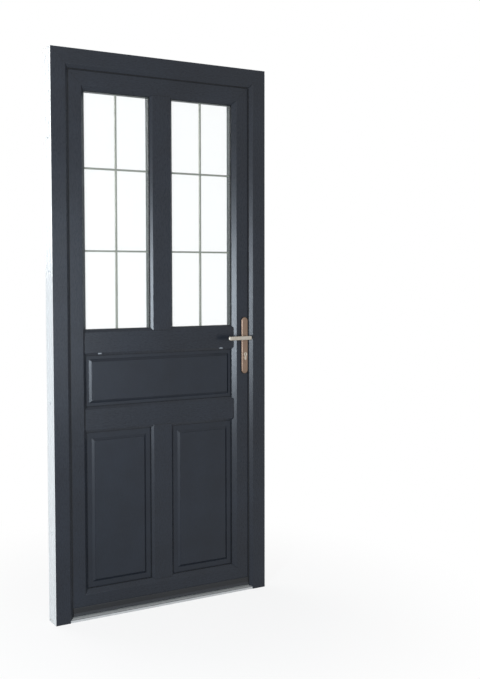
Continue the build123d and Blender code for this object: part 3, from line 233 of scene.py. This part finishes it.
def skinned_pvc(name, along, film_depth, half, top, seams):
    """White PVC with film outside a depth, up to the assembly's half width and top.

    seams(x, depth, z) gives the distance in metres to the nearest welded or coped joint.
    """
    material, shader, place = new_finish(name, {"Specular IOR Level": 0.3})
    x, depth, z = place.parts()
    skin = depth.under(film_depth) * x.size().under(half - FILM_SHORT) * z.under(top - FILM_SHORT)
    film, pores = film_colour(place, along)
    white, speckle = bare_colour(place)
    seam = seams(x, depth, z).size().rise(SEAM_HALF * 1.6, SEAM_HALF)
    height = (pores * skin) + (speckle * 0.15) - seam * 2.0
    feed(shader, {
        "Base Color": (seam * skin * 0.85).blend(skin.blend(white, film), SEAM_COLOUR),
        "Roughness": skin * (pores * 0.1 - 0.04) + 0.27,
        "Normal": bump(height, GRAIN_STRENGTH, GRAIN_DEPTH),
    })
    return material


def mitred(half, foot, top):
    """Distance to the 45 degree lines through a rectangle's corners."""
    middle, reach = (foot + top) / 2, (top - foot) / 2

    def distance(x, depth, z):
        return (half - x.size()) - (reach - (z - middle).size())

    return distance


# A stile's or leaf rail's flat, then how far the slope beside it runs across and inwards. Next,
# half a cross rail's flat, its slope, and how far that starts behind the leaf's face.
LEAF_FLAT, LEAF_SLOPE = 0.071, (0.017, 0.014)
CROSS_FLAT_HALF, CROSS_SLOPE, CROSS_BEHIND = 0.040, (0.010, 0.007), 0.008


def from_slope(across, deep, slope):
    """Distance to a slope: how far across and how deep, each times the slope's other part."""
    length = float(np.hypot(*slope))
    return across * (slope[1] / length) - deep * (slope[0] / length)


def coped_on_stiles(half):
    """Distance to the slopes of the stiles, where the cross rails are cut to fit."""

    def distance(x, depth, z):
        return from_slope(half - x.size() - LEAF_FLAT, depth - LEAF_FACE_DEPTH, LEAF_SLOPE)

    return distance


def coped_on_rails(outer, upwards, rail):
    """Distance to the slopes above and below a mullion: a leaf rail's and a cross rail's."""

    def distance(x, depth, z):
        deep = depth - LEAF_FACE_DEPTH
        to_leaf = from_slope((outer - z) * upwards - LEAF_FLAT, deep, LEAF_SLOPE)
        past_flat = (z - rail) * upwards - CROSS_FLAT_HALF
        to_cross = from_slope(past_flat, deep - CROSS_BEHIND, CROSS_SLOPE)
        return deep.maths("MINIMUM", to_leaf, to_cross)

    return distance


def middle_height(name):
    low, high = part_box(name)
    return (low.z + high.z) / 2


# The frame has no lower member, so its mitres meet far below; the leaf's film runs on past its top.
FAR_BELOW, FAR_ABOVE, LIP = -5.0, 9.0, 0.020
frame_half, _, frame_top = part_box("frame_head")[1]
leaf_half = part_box("top_rail")[1].x - LIP
leaf_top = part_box("top_rail")[1].z - LIP
leaf_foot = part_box("bottom_rail")[0].z + LIP
frame_mitre = mitred(frame_half, FAR_BELOW, frame_top)
leaf_mitre = mitred(leaf_half, leaf_foot, leaf_top)
over_mullion = coped_on_rails(leaf_top, 1, middle_height("cross_rail_upper"))
under_mullion = coped_on_rails(leaf_foot, -1, middle_height("cross_rail_lower"))

frame_skins = (
    ("frame_film_across", "x", ("frame_head",)),
    ("frame_film_upright", "z", ("frame_jamb_hinge_side", "frame_jamb_lock_side")),
)
for name, along, dressed in frame_skins:
    film = skinned_pvc(name, along, FRAME_FILM_DEPTH, frame_half, frame_top, frame_mitre)
    dress(film, *dressed)

leaf_skins = (
    ("leaf_film_across", "x", leaf_mitre, ("top_rail", "bottom_rail")),
    ("leaf_film_upright", "z", leaf_mitre, ("stile_hinge_side", "stile_lock_side")),
    ("cross_rail_film", "x", coped_on_stiles(leaf_half), ("cross_rail_upper", "cross_rail_lower")),
    ("upper_mullion_film", "z", over_mullion, ("mullion_upper",)),
    ("lower_mullion_film", "z", under_mullion, ("mullion_lower",)),
)
for name, along, seams, dressed in leaf_skins:
    dress(skinned_pvc(name, along, LEAF_FILM_DEPTH, leaf_half, FAR_ABOVE, seams), *dressed)

# The panels are foam between two skins, pressed with a raised field whose edges are soft. The
# outer skin carries the same film with its grain upright; the inner one is white.

PANEL_EDGE = 0.0025
panel_low, panel_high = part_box("panel_middle")


def panel_finish():
    material, shader, place = new_finish("panel_film", {"Specular IOR Level": 0.28})
    _, depth, _ = place.parts()
    skin = depth.under((panel_low.y + panel_high.y) / 2)
    film, pores = film_colour(place, "z")
    white, speckle = bare_colour(place)
    height = pores * skin + speckle * 0.15
    feed(shader, {
        "Base Color": skin.blend(white, film),
        "Roughness": skin * (pores * 0.1 + 0.02) + 0.27,
        "Normal": bump(height, GRAIN_STRENGTH, GRAIN_DEPTH, PANEL_EDGE),
    })
    return material


dress(panel_finish(), "panel_middle", "panel_lower_left", "panel_lower_right")

# Glazing beads are extruded bare white PVC, mitred at the corners. They are snapped into the
# profiles from the room side and hold the glass and the panels.


def plain_pvc(name, light, shade, roughness):
    material, shader, place = new_finish(name, {"Specular IOR Level": 0.45})
    speckle = place.noise(SPECKLE_SCALE, 2.0)
    clouds = place.noise(5, 1.0)
    feed(shader, {
        "Base Color": (speckle * 0.5 + clouds * 0.5).blend(shade, light),
        "Roughness": clouds * 0.1 + roughness,
        "Normal": bump(speckle, 0.08, 0.0002),
    })
    return material


dress(plain_pvc("bead_white", PVC_WHITE, PVC_SHADE, 0.28), "beads_glass", "beads_panels")

# Seals are extruded black rubber lips, dull and a little dusty. They are pressed into grooves of
# the frame, the leaf and the beads.


def rubber():
    material, shader, place = new_finish("seal_rubber", {"Specular IOR Level": 0.3})
    dust = place.noise(260, 4.0)
    feed(shader, {
        "Base Color": dust.rise(0.35, 0.9).blend(paint(20, 20, 22), paint(38, 39, 41)),
        "Roughness": dust * 0.2 + 0.62,
        "Normal": bump(dust, 0.3, 0.0003),
    })
    return material


dress(rubber(), "frame_seal", "leaf_seal", "glazing_seals")

# The drip bar across the foot of the leaf and the threshold's core are dark ABS. The end blocks
# that plug the threshold are the same plastic; low down its colour is paler.

PALE_LOW_TOP, PALE_LOW_FULL = 0.0310, 0.0295


def dark_plastic():
    material, shader, place = new_finish("dark_plastic", {"Specular IOR Level": 0.4})
    _, _, z = place.parts()
    spots = place.noise(700, 3.0, (0.2, 1, 1))
    # Below about 30 mm from the floor the colour turns paler.
    pale_low = z.rise(PALE_LOW_TOP, PALE_LOW_FULL)
    plain = spots.blend(paint(17, 19, 22), paint(24, 26, 30))
    feed(shader, {
        "Base Color": (pale_low * 0.7).blend(plain, paint(38, 41, 46)),
        "Roughness": spots * 0.2 + 0.36,
        "Normal": bump(spots, 0.2, 0.0002),
    })
    return material


dress(dark_plastic(), "weather_bar", "threshold_core", "threshold_end_blocks")

# The threshold is a drawn aluminium tread, natural satin. Drawing leaves fine lines along it, and
# feet have dulled the ridge. A small groove parts the tread from the upright front, and its colour
# is darkened there: painted shade.

GROOVE_HEIGHT, GROOVE_REACH = 0.0100, 0.0035


def drawn_aluminium():
    material, shader, place = new_finish("threshold_aluminium", {"Metallic": 0.4})
    _, depth, z = place.parts()
    lines = place.noise(1400, 3.0, (0.01, 1, 1))
    wear = place.noise(16, 4.0, (1, 3, 3))
    front_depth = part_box("threshold")[0].y
    upright = depth.under(front_depth + 0.0004, 0.0002)
    near_front = depth.under(front_depth + GROOVE_REACH, 0.0005)
    groove = (z - GROOVE_HEIGHT).size().under(0.0013, 0.0003) * near_front
    tread = (lines * 0.6 + wear * 0.5).blend(paint(180, 180, 177), paint(204, 204, 201))
    metal = upright.blend(tread, paint(186, 186, 185))
    feed(shader, {
        # The groove's colour is made dark: painted shade between the tread and the front.
        "Base Color": groove.blend(metal, paint(96, 96, 97)),
        "Roughness": wear * 0.2 + lines * 0.1 + 0.4,
        "Normal": bump(lines - groove * 2.0, 0.3, 0.0002),
    })
    return material


dress(drawn_aluminium(), "threshold")

# Each light is two clear float panes. Clear glass lets nearly all light through and mirrors more
# of it at a low angle; its thickness gives a faint green.


def clear_glass():
    material, shader, place = new_finish("clear_glass", {"Roughness": 0.02, "IOR": 1.5})
    gloss = place.make("LayerWeight", None, {"Blend": 0.18})
    smear = place.noise(3, 2.0)
    feed(shader, {
        "Base Color": smear.blend(paint(236, 246, 243), paint(244, 250, 248)),
        "Alpha": gloss * 0.45 + smear * 0.02 + 0.03,
    })
    return material


dress(clear_glass(), "glass_left", "glass_right")

# Between the panes run the warm-edge spacer, a dark plastic channel with a punched row over the
# drying salt, and the flat painted bars that divide each light in six. The holes of the row are
# dented and painted near-black: painted shade inside them.


def warm_edge():
    material, shader, place = new_finish("spacer_warm_edge", {"Specular IOR Level": 0.15})
    _, depth, _ = place.parts()
    low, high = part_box("spacer_left")
    row = (depth - (low.y + high.y) / 2).size().rise(0.0009, 0.0006)
    wave = {"Vector": place, "Scale": 160.0}
    holes = place.make("TexWave", {"bands_direction": "DIAGONAL"}, wave, 1).rise(0.45, 0.6)
    punched = row * holes
    feed(shader, {
        # The holes are painted near-black: painted shade inside them.
        "Base Color": (punched * 0.7).blend(paint(26, 31, 29), paint(8, 8, 8)),
        "Roughness": place.noise(300) * 0.1 + 0.42,
        "Normal": bump(1 - punched, 0.4, 0.0003),
    })
    return material


def bar_paint():
    constants = {"Metallic": 0.35, "Specular IOR Level": 0.5}
    material, shader, place = new_finish("bar_paint", constants)
    flakes = place.noise(2500, 2.0)
    clouds = place.noise(30, 2.0)
    tone = flakes * 0.6 + clouds * 0.4
    feed(shader, {
        "Base Color": tone.blend(paint(96, 98, 88), paint(134, 136, 124)),
        "Roughness": clouds * 0.15 + 0.34,
        "Normal": bump(flakes, 0.1, 0.0001),
    })
    return material


dress(warm_edge(), "spacer_left", "spacer_right")
dress(bar_paint(), "glazing_bars_left", "glazing_bars_right")

# Two small grey hoods, moulded in PVC, are snapped over the drain slots in the slope of the
# upper cross rail.

cap_grey = plain_pvc("drain_cap_grey", paint(134, 138, 143), paint(118, 122, 127), 0.42)
dress(cap_grey, "drain_caps")

# Steel inside the door is zinc plated: the reinforcing tubes, lock cases, faceplate, rods, bolts,
# keeps and pins. Zinc dries in pale blue and straw spangles.

BRUSH_STRETCH = 0.03


def plated_steel(name, light, shade, along):
    material, shader, place = new_finish(name, {"Metallic": 1.0})
    stretch = tuple(BRUSH_STRETCH if axis == along else 1.0 for axis in "xyz")
    brushed = place.noise(1200, 3.0, stretch)
    spangle = place.noise(90, 3.0)
    feed(shader, {
        "Base Color": (brushed * 0.5 + spangle * 0.5).blend(shade, light),
        "Roughness": spangle * 0.2 + brushed * 0.1 + 0.24,
        "Normal": bump(brushed, 0.15, 0.0001),
    })
    return material


zinc = plated_steel("zinc_plate", paint(204, 204, 198), paint(168, 170, 172), "z")
dress(
    zinc, "frame_steel", "leaf_steel", "lock_cases", "keep_middle", "keep_top", "keep_bottom",
    "locking_rods", "latch_bolt", "dead_bolt", "end_bolts", "follower", "spindle", "hinge_pins",
    "faceplate", "frame_screws", "leaf_screws",
)

# The profile cylinder is nickel-plated brass: a pear-shaped body and a round plug with a milled
# keyway. A long screw from the edge of the leaf holds it in the lock.

nickel = plated_steel("cylinder_nickel", paint(190, 180, 166), paint(158, 148, 136), "y")
dress(nickel, "lock_cylinder", "cylinder_plug")

# Hinge halves are die-cast and coated white. They are screwed to the inner faces of the frame and
# the leaf and turn on plated pins.

hinge_white = plain_pvc("hinge_enamel", paint(214, 215, 213), paint(206, 207, 205), 0.3)
hinge_heights = ("bottom", "middle", "top")
for kind in ("hinge_frame_", "hinge_leaf_"):
    dress(hinge_white, *[kind + height for height in hinge_heights])

# The levers are cast bars with softly rounded corners on a round neck that flares where it meets
# the plate. They are satin nickel, brushed along the bar, outside and inside alike.

RING_POINTS = 48
LEVER_HEIGHT, LEVER_THICK, LEVER_SQUARENESS = 0.0164, 0.0100, 3.6
LEVER_END, LEVER_END_ANGLE = LEVER_HEIGHT * 0.30, 0.25
END_STEPS, BAR_STEPS = 9, 12

# How far each ring of the neck stands from the plate; the last one lies in the middle of the bar.
NECK_STANDS = (-0.003, 0.0, 0.0008, 0.0015, 0.004, 0.010, 0.018, 0.024)
NECK_RADII = (0.0093, 0.0093, 0.0093, 0.0088, 0.0078, 0.0072, 0.0072, 0.0084, 0.0088)


def closed_surface(grids):
    """Points and faces of closed shells.

    Each grid is rows by columns by XYZ. Columns wrap round and the end rows are closed flat. The
    faces are turned outwards by the sign of the volume that the walls sweep from their middle.
    """
    points, faces, count = [], [], 0
    for grid in grids:
        rows, columns = grid.shape[:2]
        index = np.arange(rows * columns).reshape(rows, columns)
        after = np.roll(index, -1, axis=1)
        quads = np.stack([index[:-1], after[:-1], after[1:], index[1:]], axis=-1).reshape(-1, 4)
        flat = grid.reshape(-1, 3)
        a, b, c, d = np.moveaxis(flat[quads] - flat.mean(0), 1, 0)
        volume = (a * np.cross(b, c)).sum() + (a * np.cross(c, d)).sum()
        shell = [list(quad) for quad in quads + count]
        shell += [list(index[0][::-1] + count), list(index[-1] + count)]
        faces += shell if volume > 0 else [face[::-1] for face in shell]
        points.append(flat)
        count += len(flat)
    return np.vstack(points), faces


def new_piece(name, grids, body, material, replaced, smooth=True):
    """A piece from closed grids that rides on a body and stands for the node it replaces."""
    points, faces = closed_surface(grids)
    mesh = bpy.data.meshes.new(name)
    mesh.from_pydata(points.tolist(), [], faces)
    smooth_faces = np.array([smooth and len(face) == 4 for face in faces])
    mesh.polygons.foreach_set("use_smooth", smooth_faces)
    mesh.materials.append(material)
    mesh.update()
    piece = bpy.data.objects.new(name, mesh)
    scene.collection.objects.link(piece)
    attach(piece, body)
    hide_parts(replaced)


def superellipse(count, power):
    """A ring of points (cos, sin), each part raised to 2/power, so that it nears a rectangle."""
    turn = np.linspace(0, 2 * np.pi, count, endpoint=False)
    ring = np.stack([np.cos(turn), np.sin(turn)], axis=-1)
    return np.sign(ring) * np.abs(ring) ** (2 / power)


def lever_bar(start, end, middle):
    """A bar along X: a superellipse section that shrinks over both ends along a quarter round."""
    nose = LEVER_END * (1 - np.cos(np.linspace(0, np.pi / 2, END_STEPS)))
    swell = np.sin(np.linspace(LEVER_END_ANGLE, np.pi / 2, END_STEPS))
    straight = np.linspace(start + LEVER_END, end - LEVER_END, BAR_STEPS + 2)[1:-1]
    xs = np.concatenate([start + nose, straight, end - nose[::-1]])
    grow = np.concatenate([swell, np.ones(BAR_STEPS), swell[::-1]])[:, None]
    ring = superellipse(RING_POINTS, LEVER_SQUARENESS)
    grid = np.empty((len(xs), RING_POINTS, 3))
    grid[..., 0] = xs[:, None]
    grid[..., 1] = middle.y + ring[:, 1] * LEVER_THICK / 2 * grow
    grid[..., 2] = middle.z + ring[:, 0] * LEVER_HEIGHT / 2 * grow
    return grid


def turned(axis, radii, depths):
    """A shape turned round a line along Y: circles of the given radii at the given depths."""
    turn = np.linspace(0, 2 * np.pi, RING_POINTS, endpoint=False)
    radii, depths = np.asarray(radii)[:, None], np.asarray(depths)[:, None]
    grid = np.empty((len(radii), RING_POINTS, 3))
    grid[..., 0] = axis.x + radii * np.cos(turn)
    grid[..., 1] = depths
    grid[..., 2] = axis.z + radii * np.sin(turn)
    return grid


lever_axis = Vector(joints["lever_turn"]["pos_m"])
lever_nickel = plated_steel("lever_nickel", paint(192, 186, 175), paint(150, 144, 134), "x")
for side, outwards in (("outer", -1), ("inner", 1)):
    low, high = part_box("lever_" + side)
    plate_low, plate_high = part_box("handle_plate_" + side)
    face, plate_face = (low.y, plate_low.y) if outwards < 0 else (high.y, plate_high.y)
    middle = Vector((lever_axis.x, face - outwards * LEVER_THICK / 2, lever_axis.z))
    bar = lever_bar(low.x, high.x, middle)
    depths = np.append(plate_face + outwards * np.array(NECK_STANDS), middle.y)
    neck = turned(lever_axis, NECK_RADII, depths)
    name = "lever_" + side
    new_piece(name + "_cast", [bar, neck], "lever", lever_nickel, name)

# The long plates are pressed from sheet with a rolled rim and round ends, in a darker brushed
# bronze nickel. Two long screws through the leaf draw them together.

PLATE_POINTS, ROLL_STEPS = 64, 9
PLATE_ROLL, PLATE_FLAT = 0.005, 0.0012
plate_bronze = plated_steel("plate_bronze", paint(146, 124, 108), paint(106, 90, 79), "z")


def pressed_plate(low, high, outwards):
    """A plate with round ends: its outline is swept up and inwards along a quarter round."""
    half = (high.x - low.x) / 2
    straight = (high.z - low.z) / 2 - half
    middle = Vector(((low.x + high.x) / 2, 0, (low.z + high.z) / 2))
    back, face = (high.y, low.y) if outwards < 0 else (low.y, high.y)
    turn = np.linspace(0, 2 * np.pi, PLATE_POINTS, endpoint=False)
    roll = np.linspace(0, np.pi / 2, ROLL_STEPS)
    inset = np.concatenate([[0.0], PLATE_ROLL * (1 - np.cos(roll)), [PLATE_ROLL + PLATE_FLAT]])
    rim = 1 - PLATE_ROLL / abs(face - back) * (1 - np.sin(roll))
    lift = np.concatenate([[0.0], rim, [1.0]])
    radius = half - inset[:, None]
    grid = np.empty((len(inset), PLATE_POINTS, 3))
    grid[..., 0] = middle.x + radius * np.cos(turn)
    grid[..., 1] = back + (face - back) * lift[:, None]
    grid[..., 2] = middle.z + radius * np.sin(turn) + np.sign(np.sin(turn)) * straight
    return grid


for side, outwards in (("outer", -1), ("inner", 1)):
    name = "handle_plate_" + side
    plate = pressed_plate(*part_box(name), outwards)
    new_piece("plate_" + side + "_pressed", [plate], "leaf", plate_bronze, name)

# Countersunk screws with a cross recess hold the keeps, hinges, faceplate and threshold; two long
# ones draw the plates together, and one from the edge holds the cylinder. All are zinc plated.

HEAD_RADIUS, SHANK_RADIUS, TIP_RADIUS = 0.0040, 0.0019, 0.0002
SCREW_LENGTH, TIP_LENGTH, RIM = 0.012, 0.003, 0.0002
RECESS_LENGTH, RECESS_WIDTH, RECESS_DEPTH = 0.0022, 0.0006, 0.0013


def screw(point, outwards, radius=HEAD_RADIUS, length=SCREW_LENGTH):
    """A screw as rings along its line: tip, shank, cone, rim, then the recess's cross and floor.

    The cross in polar form is the farther of its two bars; each bar's edge is the nearer of its
    end, length / |cos|, and its side, width / |sin|.
    """
    bend = np.arctan2(RECESS_WIDTH, RECESS_LENGTH)
    stops = [0, bend, np.pi / 4, np.pi / 2 - bend, np.pi / 2]
    quarter = np.concatenate([np.linspace(a, b, 3)[:-1] for a, b in zip(stops, stops[1:])])
    turn = (quarter + np.arange(4)[:, None] * np.pi / 2).ravel()
    across, up = np.abs(np.cos(turn)) + 1e-9, np.abs(np.sin(turn)) + 1e-9
    level = np.minimum(RECESS_LENGTH / across, RECESS_WIDTH / up)
    upright = np.minimum(RECESS_LENGTH / up, RECESS_WIDTH / across)
    cross = np.maximum(level, upright)
    circle = np.ones_like(turn)
    radii = np.array([
        circle * TIP_RADIUS, circle * SHANK_RADIUS, circle * SHANK_RADIUS, circle * radius,
        circle * (radius - RIM), cross, cross * 0.85, cross * 0.1,
    ])
    cone = radius - SHANK_RADIUS
    heights = [-length, TIP_LENGTH - length, -cone, -RIM, 0, 0, -RECESS_DEPTH, -RECESS_DEPTH]
    grid = np.empty(radii.shape + (3,))
    grid[..., 0] = radii * np.cos(turn)
    grid[..., 1] = radii * np.sin(turn)
    grid[..., 2] = np.array(heights)[:, None]
    axis = Vector(outwards)
    sideways = Vector((0, 0, 1)).cross(axis)
    return grid @ np.array([sideways, (0, 0, 1), axis]) + np.array(point)


def screws_on_hinges(kind, columns, rows, face):
    """Screws on three hinge halves of a kind: columns from the right edge, rows from the foot."""
    rings = []
    for height in hinge_heights:
        low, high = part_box(kind + height)
        places = [(high.x - column, face, low.z + row) for column in columns for row in rows]
        rings += [screw(place, (0, 1, 0)) for place in places]
    return rings


# Where the screws sit: from the right edge and the foot of a hinge half, from the ends of a keep
# and of the faceplate, up from the floor, and up or down from the lever or the cylinder.
FRAME_HINGE_COLUMNS, FRAME_HINGE_ROWS, FRAME_HINGE_THICK = (0.024,), (0.009, 0.030, 0.051), 0.003
LEAF_HINGE_COLUMNS, LEAF_HINGE_ROWS, LEAF_HINGE_THICK = (0.009, 0.027), (0.009, 0.034), 0.004
KEEP_END, FACEPLATE_END = 0.010, 0.020
THRESHOLD_SCREW_HEIGHT, THRESHOLD_SCREW_DEPTHS = 0.009, (0.002, 0.023)
END_CASE_HEIGHTS = (0.270, 1.860)
CASE_SCREW_RISES, CYLINDER_SCREW_DROP = (0.0515, -0.1275), 0.0195
PLATE_SCREW_RISES, PLATE_SCREW_RADIUS, PLATE_SCREW_LENGTH = (0.036, -0.118), 0.0045, 0.07
PLATE_SCREW_STAND = 0.0001

faceplate_low, faceplate_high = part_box("faceplate")
edge_depth = (faceplate_low.y + faceplate_high.y) / 2
frame_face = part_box("frame_head")[1].y + FRAME_HINGE_THICK
frame_rows = screws_on_hinges("hinge_frame_", FRAME_HINGE_COLUMNS, FRAME_HINGE_ROWS, frame_face)
for name in ("keep_bottom", "keep_middle", "keep_top"):
    low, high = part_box(name)
    for height in (low.z + KEEP_END, high.z - KEEP_END):
        frame_rows.append(screw((low.x, edge_depth, height), (-1, 0, 0)))
for side in (-1, 1):
    for depth in THRESHOLD_SCREW_DEPTHS:
        place = (side * frame_half, depth, THRESHOLD_SCREW_HEIGHT)
        frame_rows.append(screw(place, (side, 0, 0)))
new_piece("frame_screw_set", frame_rows, "frame", zinc, "frame_screws", smooth=False)

leaf_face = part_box("stile_lock_side")[1].y + LEAF_HINGE_THICK
leaf_rows = screws_on_hinges("hinge_leaf_", LEAF_HINGE_COLUMNS, LEAF_HINGE_ROWS, leaf_face)
edge_heights = [faceplate_low.z + FACEPLATE_END, faceplate_high.z - FACEPLATE_END]
edge_heights += END_CASE_HEIGHTS
edge_heights += [lever_axis.z + rise for rise in CASE_SCREW_RISES]
edge_heights.append(joints["key_turn"]["pos_m"][2] - CYLINDER_SCREW_DROP)
for height in sorted(edge_heights):
    leaf_rows.append(screw((faceplate_high.x, edge_depth, height), (1, 0, 0)))
plate_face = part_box("handle_plate_inner")[1].y + PLATE_SCREW_STAND
for rise in PLATE_SCREW_RISES:
    place = (lever_axis.x, plate_face, lever_axis.z + rise)
    leaf_rows.append(screw(place, (0, 1, 0), PLATE_SCREW_RADIUS, PLATE_SCREW_LENGTH))
new_piece("leaf_screw_set", leaf_rows, "leaf", zinc, "leaf_screws", smooth=False)

# The sweep under the leaf is a dark strip with a row of nylon bristles that touch the threshold.
# The strip slides into a groove at the foot of the leaf.

BRISTLES, BRISTLE_RADIUS, BRISTLE_TAPER, BRISTLE_LEAN = 1400, 0.00035, 0.6, 0.0006
ROW_HALF, ROW_END, STRIP_HEIGHT = 0.0012, 0.001, 0.003
STRIP_POINTS, STRIP_SQUARENESS = 24, 5


def bristle_row(low, high):
    """Thin square hairs side by side: each leans by a seeded angle and tapers to its tip."""
    draw = np.random.default_rng(7)
    x = np.linspace(low.x + ROW_END, high.x - ROW_END, BRISTLES)
    lean = draw.uniform(-BRISTLE_LEAN, BRISTLE_LEAN, (BRISTLES, 2))
    y = (low.y + high.y) / 2 + draw.uniform(-ROW_HALF, ROW_HALF, BRISTLES)
    root = np.stack([x, y, np.full(BRISTLES, high.z - STRIP_HEIGHT)], axis=-1)
    tip = np.stack([x + lean[:, 0], y + lean[:, 1], np.full(BRISTLES, low.z)], axis=-1)
    corners = np.array([(-1, -1, 0), (1, -1, 0), (1, 1, 0), (-1, 1, 0)]) * BRISTLE_RADIUS
    return np.stack([root[:, None] + corners, tip[:, None] + corners * BRISTLE_TAPER], axis=1)


def strip(low, high):
    """The carrier of the bristles, a rounded bar: a superellipse section along X."""
    ring = superellipse(STRIP_POINTS, STRIP_SQUARENESS)
    grid = np.empty((2, STRIP_POINTS, 3))
    grid[..., 0] = np.array([low.x, high.x])[:, None]
    grid[..., 1] = (low.y + high.y) / 2 + ring[:, 0] * (high.y - low.y) / 2
    grid[..., 2] = high.z - STRIP_HEIGHT / 2 + ring[:, 1] * STRIP_HEIGHT / 2
    return grid


brush_low, brush_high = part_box("bottom_brush")
brush = [strip(brush_low, brush_high)] + list(bristle_row(brush_low, brush_high))
nylon = plain_pvc("bristle_nylon", paint(36, 37, 40), paint(24, 25, 27), 0.5)
new_piece("bottom_brush_bristles", brush, "leaf", nylon, "bottom_brush")

# The floor is a plain pale sheet. To the eye, in mirrors and through glass it fades to white away
# from the door, and it keeps the door's shadow.

FLOOR_HALF, FLOOR_DROP = 30.0, 0.0005
FADE_START, FADE_END, NEAR_WHITE = 0.4, 1.5, 0.86
BACKGROUND_RAYS = ("Is Camera Ray", "Is Glossy Ray", "Is Transmission Ray")


def background_seen(field):
    """1 for rays that reach the background straight, in a mirror or through glass, else 0."""
    straight, mirrored, through = [field.make("LightPath", output=kind) for kind in BACKGROUND_RAYS]
    return field.maths("MAXIMUM", field.maths("MAXIMUM", straight, mirrored), through)


floor_corners = np.array([(-1, -1, 0), (1, -1, 0), (1, 1, 0), (-1, 1, 0)]) * FLOOR_HALF
floor_mesh = bpy.data.meshes.new("floor")
floor_mesh.from_pydata((floor_corners - (0, 0, FLOOR_DROP)).tolist(), [], [(0, 1, 2, 3)])
floor = bpy.data.objects.new("floor", floor_mesh)
scene.collection.objects.link(floor)
floor_paint = bpy.data.materials.new("floor_paint")
floor_paint.use_nodes = True
tree = floor_paint.node_tree
tree.nodes.clear()
sheet = Field(tree)
place = sheet.make("TexCoord", output="Object")
away = sheet.make("VectorMath", {"operation": "LENGTH"}, {0: place}, 1)
whiteness = away.rise(FADE_START, FADE_END) * (1 - NEAR_WHITE) + NEAR_WHITE
matt = sheet.make("BsdfDiffuse", None, {"Color": paint(216, 216, 216)})
white = sheet.make("Emission", None, {"Color": (1, 1, 1, 1), "Strength": 1.0})
mixed = sheet.make("MixShader", None, {0: whiteness * background_seen(sheet), 1: matt, 2: white})
floor_output = tree.nodes.new("ShaderNodeOutputMaterial")
tree.links.new(mixed.socket, floor_output.inputs["Surface"])
floor_mesh.materials.append(floor_paint)

# The surroundings are white to the eye, in mirrors and through glass. They light the door softly
# and less strongly, so that its white faces keep their shades.

SKY_LIGHT = 0.38
world = bpy.data.worlds.new("studio")
world.use_nodes = True
background = world.node_tree.nodes["Background"]
background.inputs["Color"].default_value = (1, 1, 1, 1)
strength = background_seen(Field(world.node_tree)) * (1 - SKY_LIGHT) + SKY_LIGHT
world.node_tree.links.new(strength.socket, background.inputs["Strength"])
scene.world = world
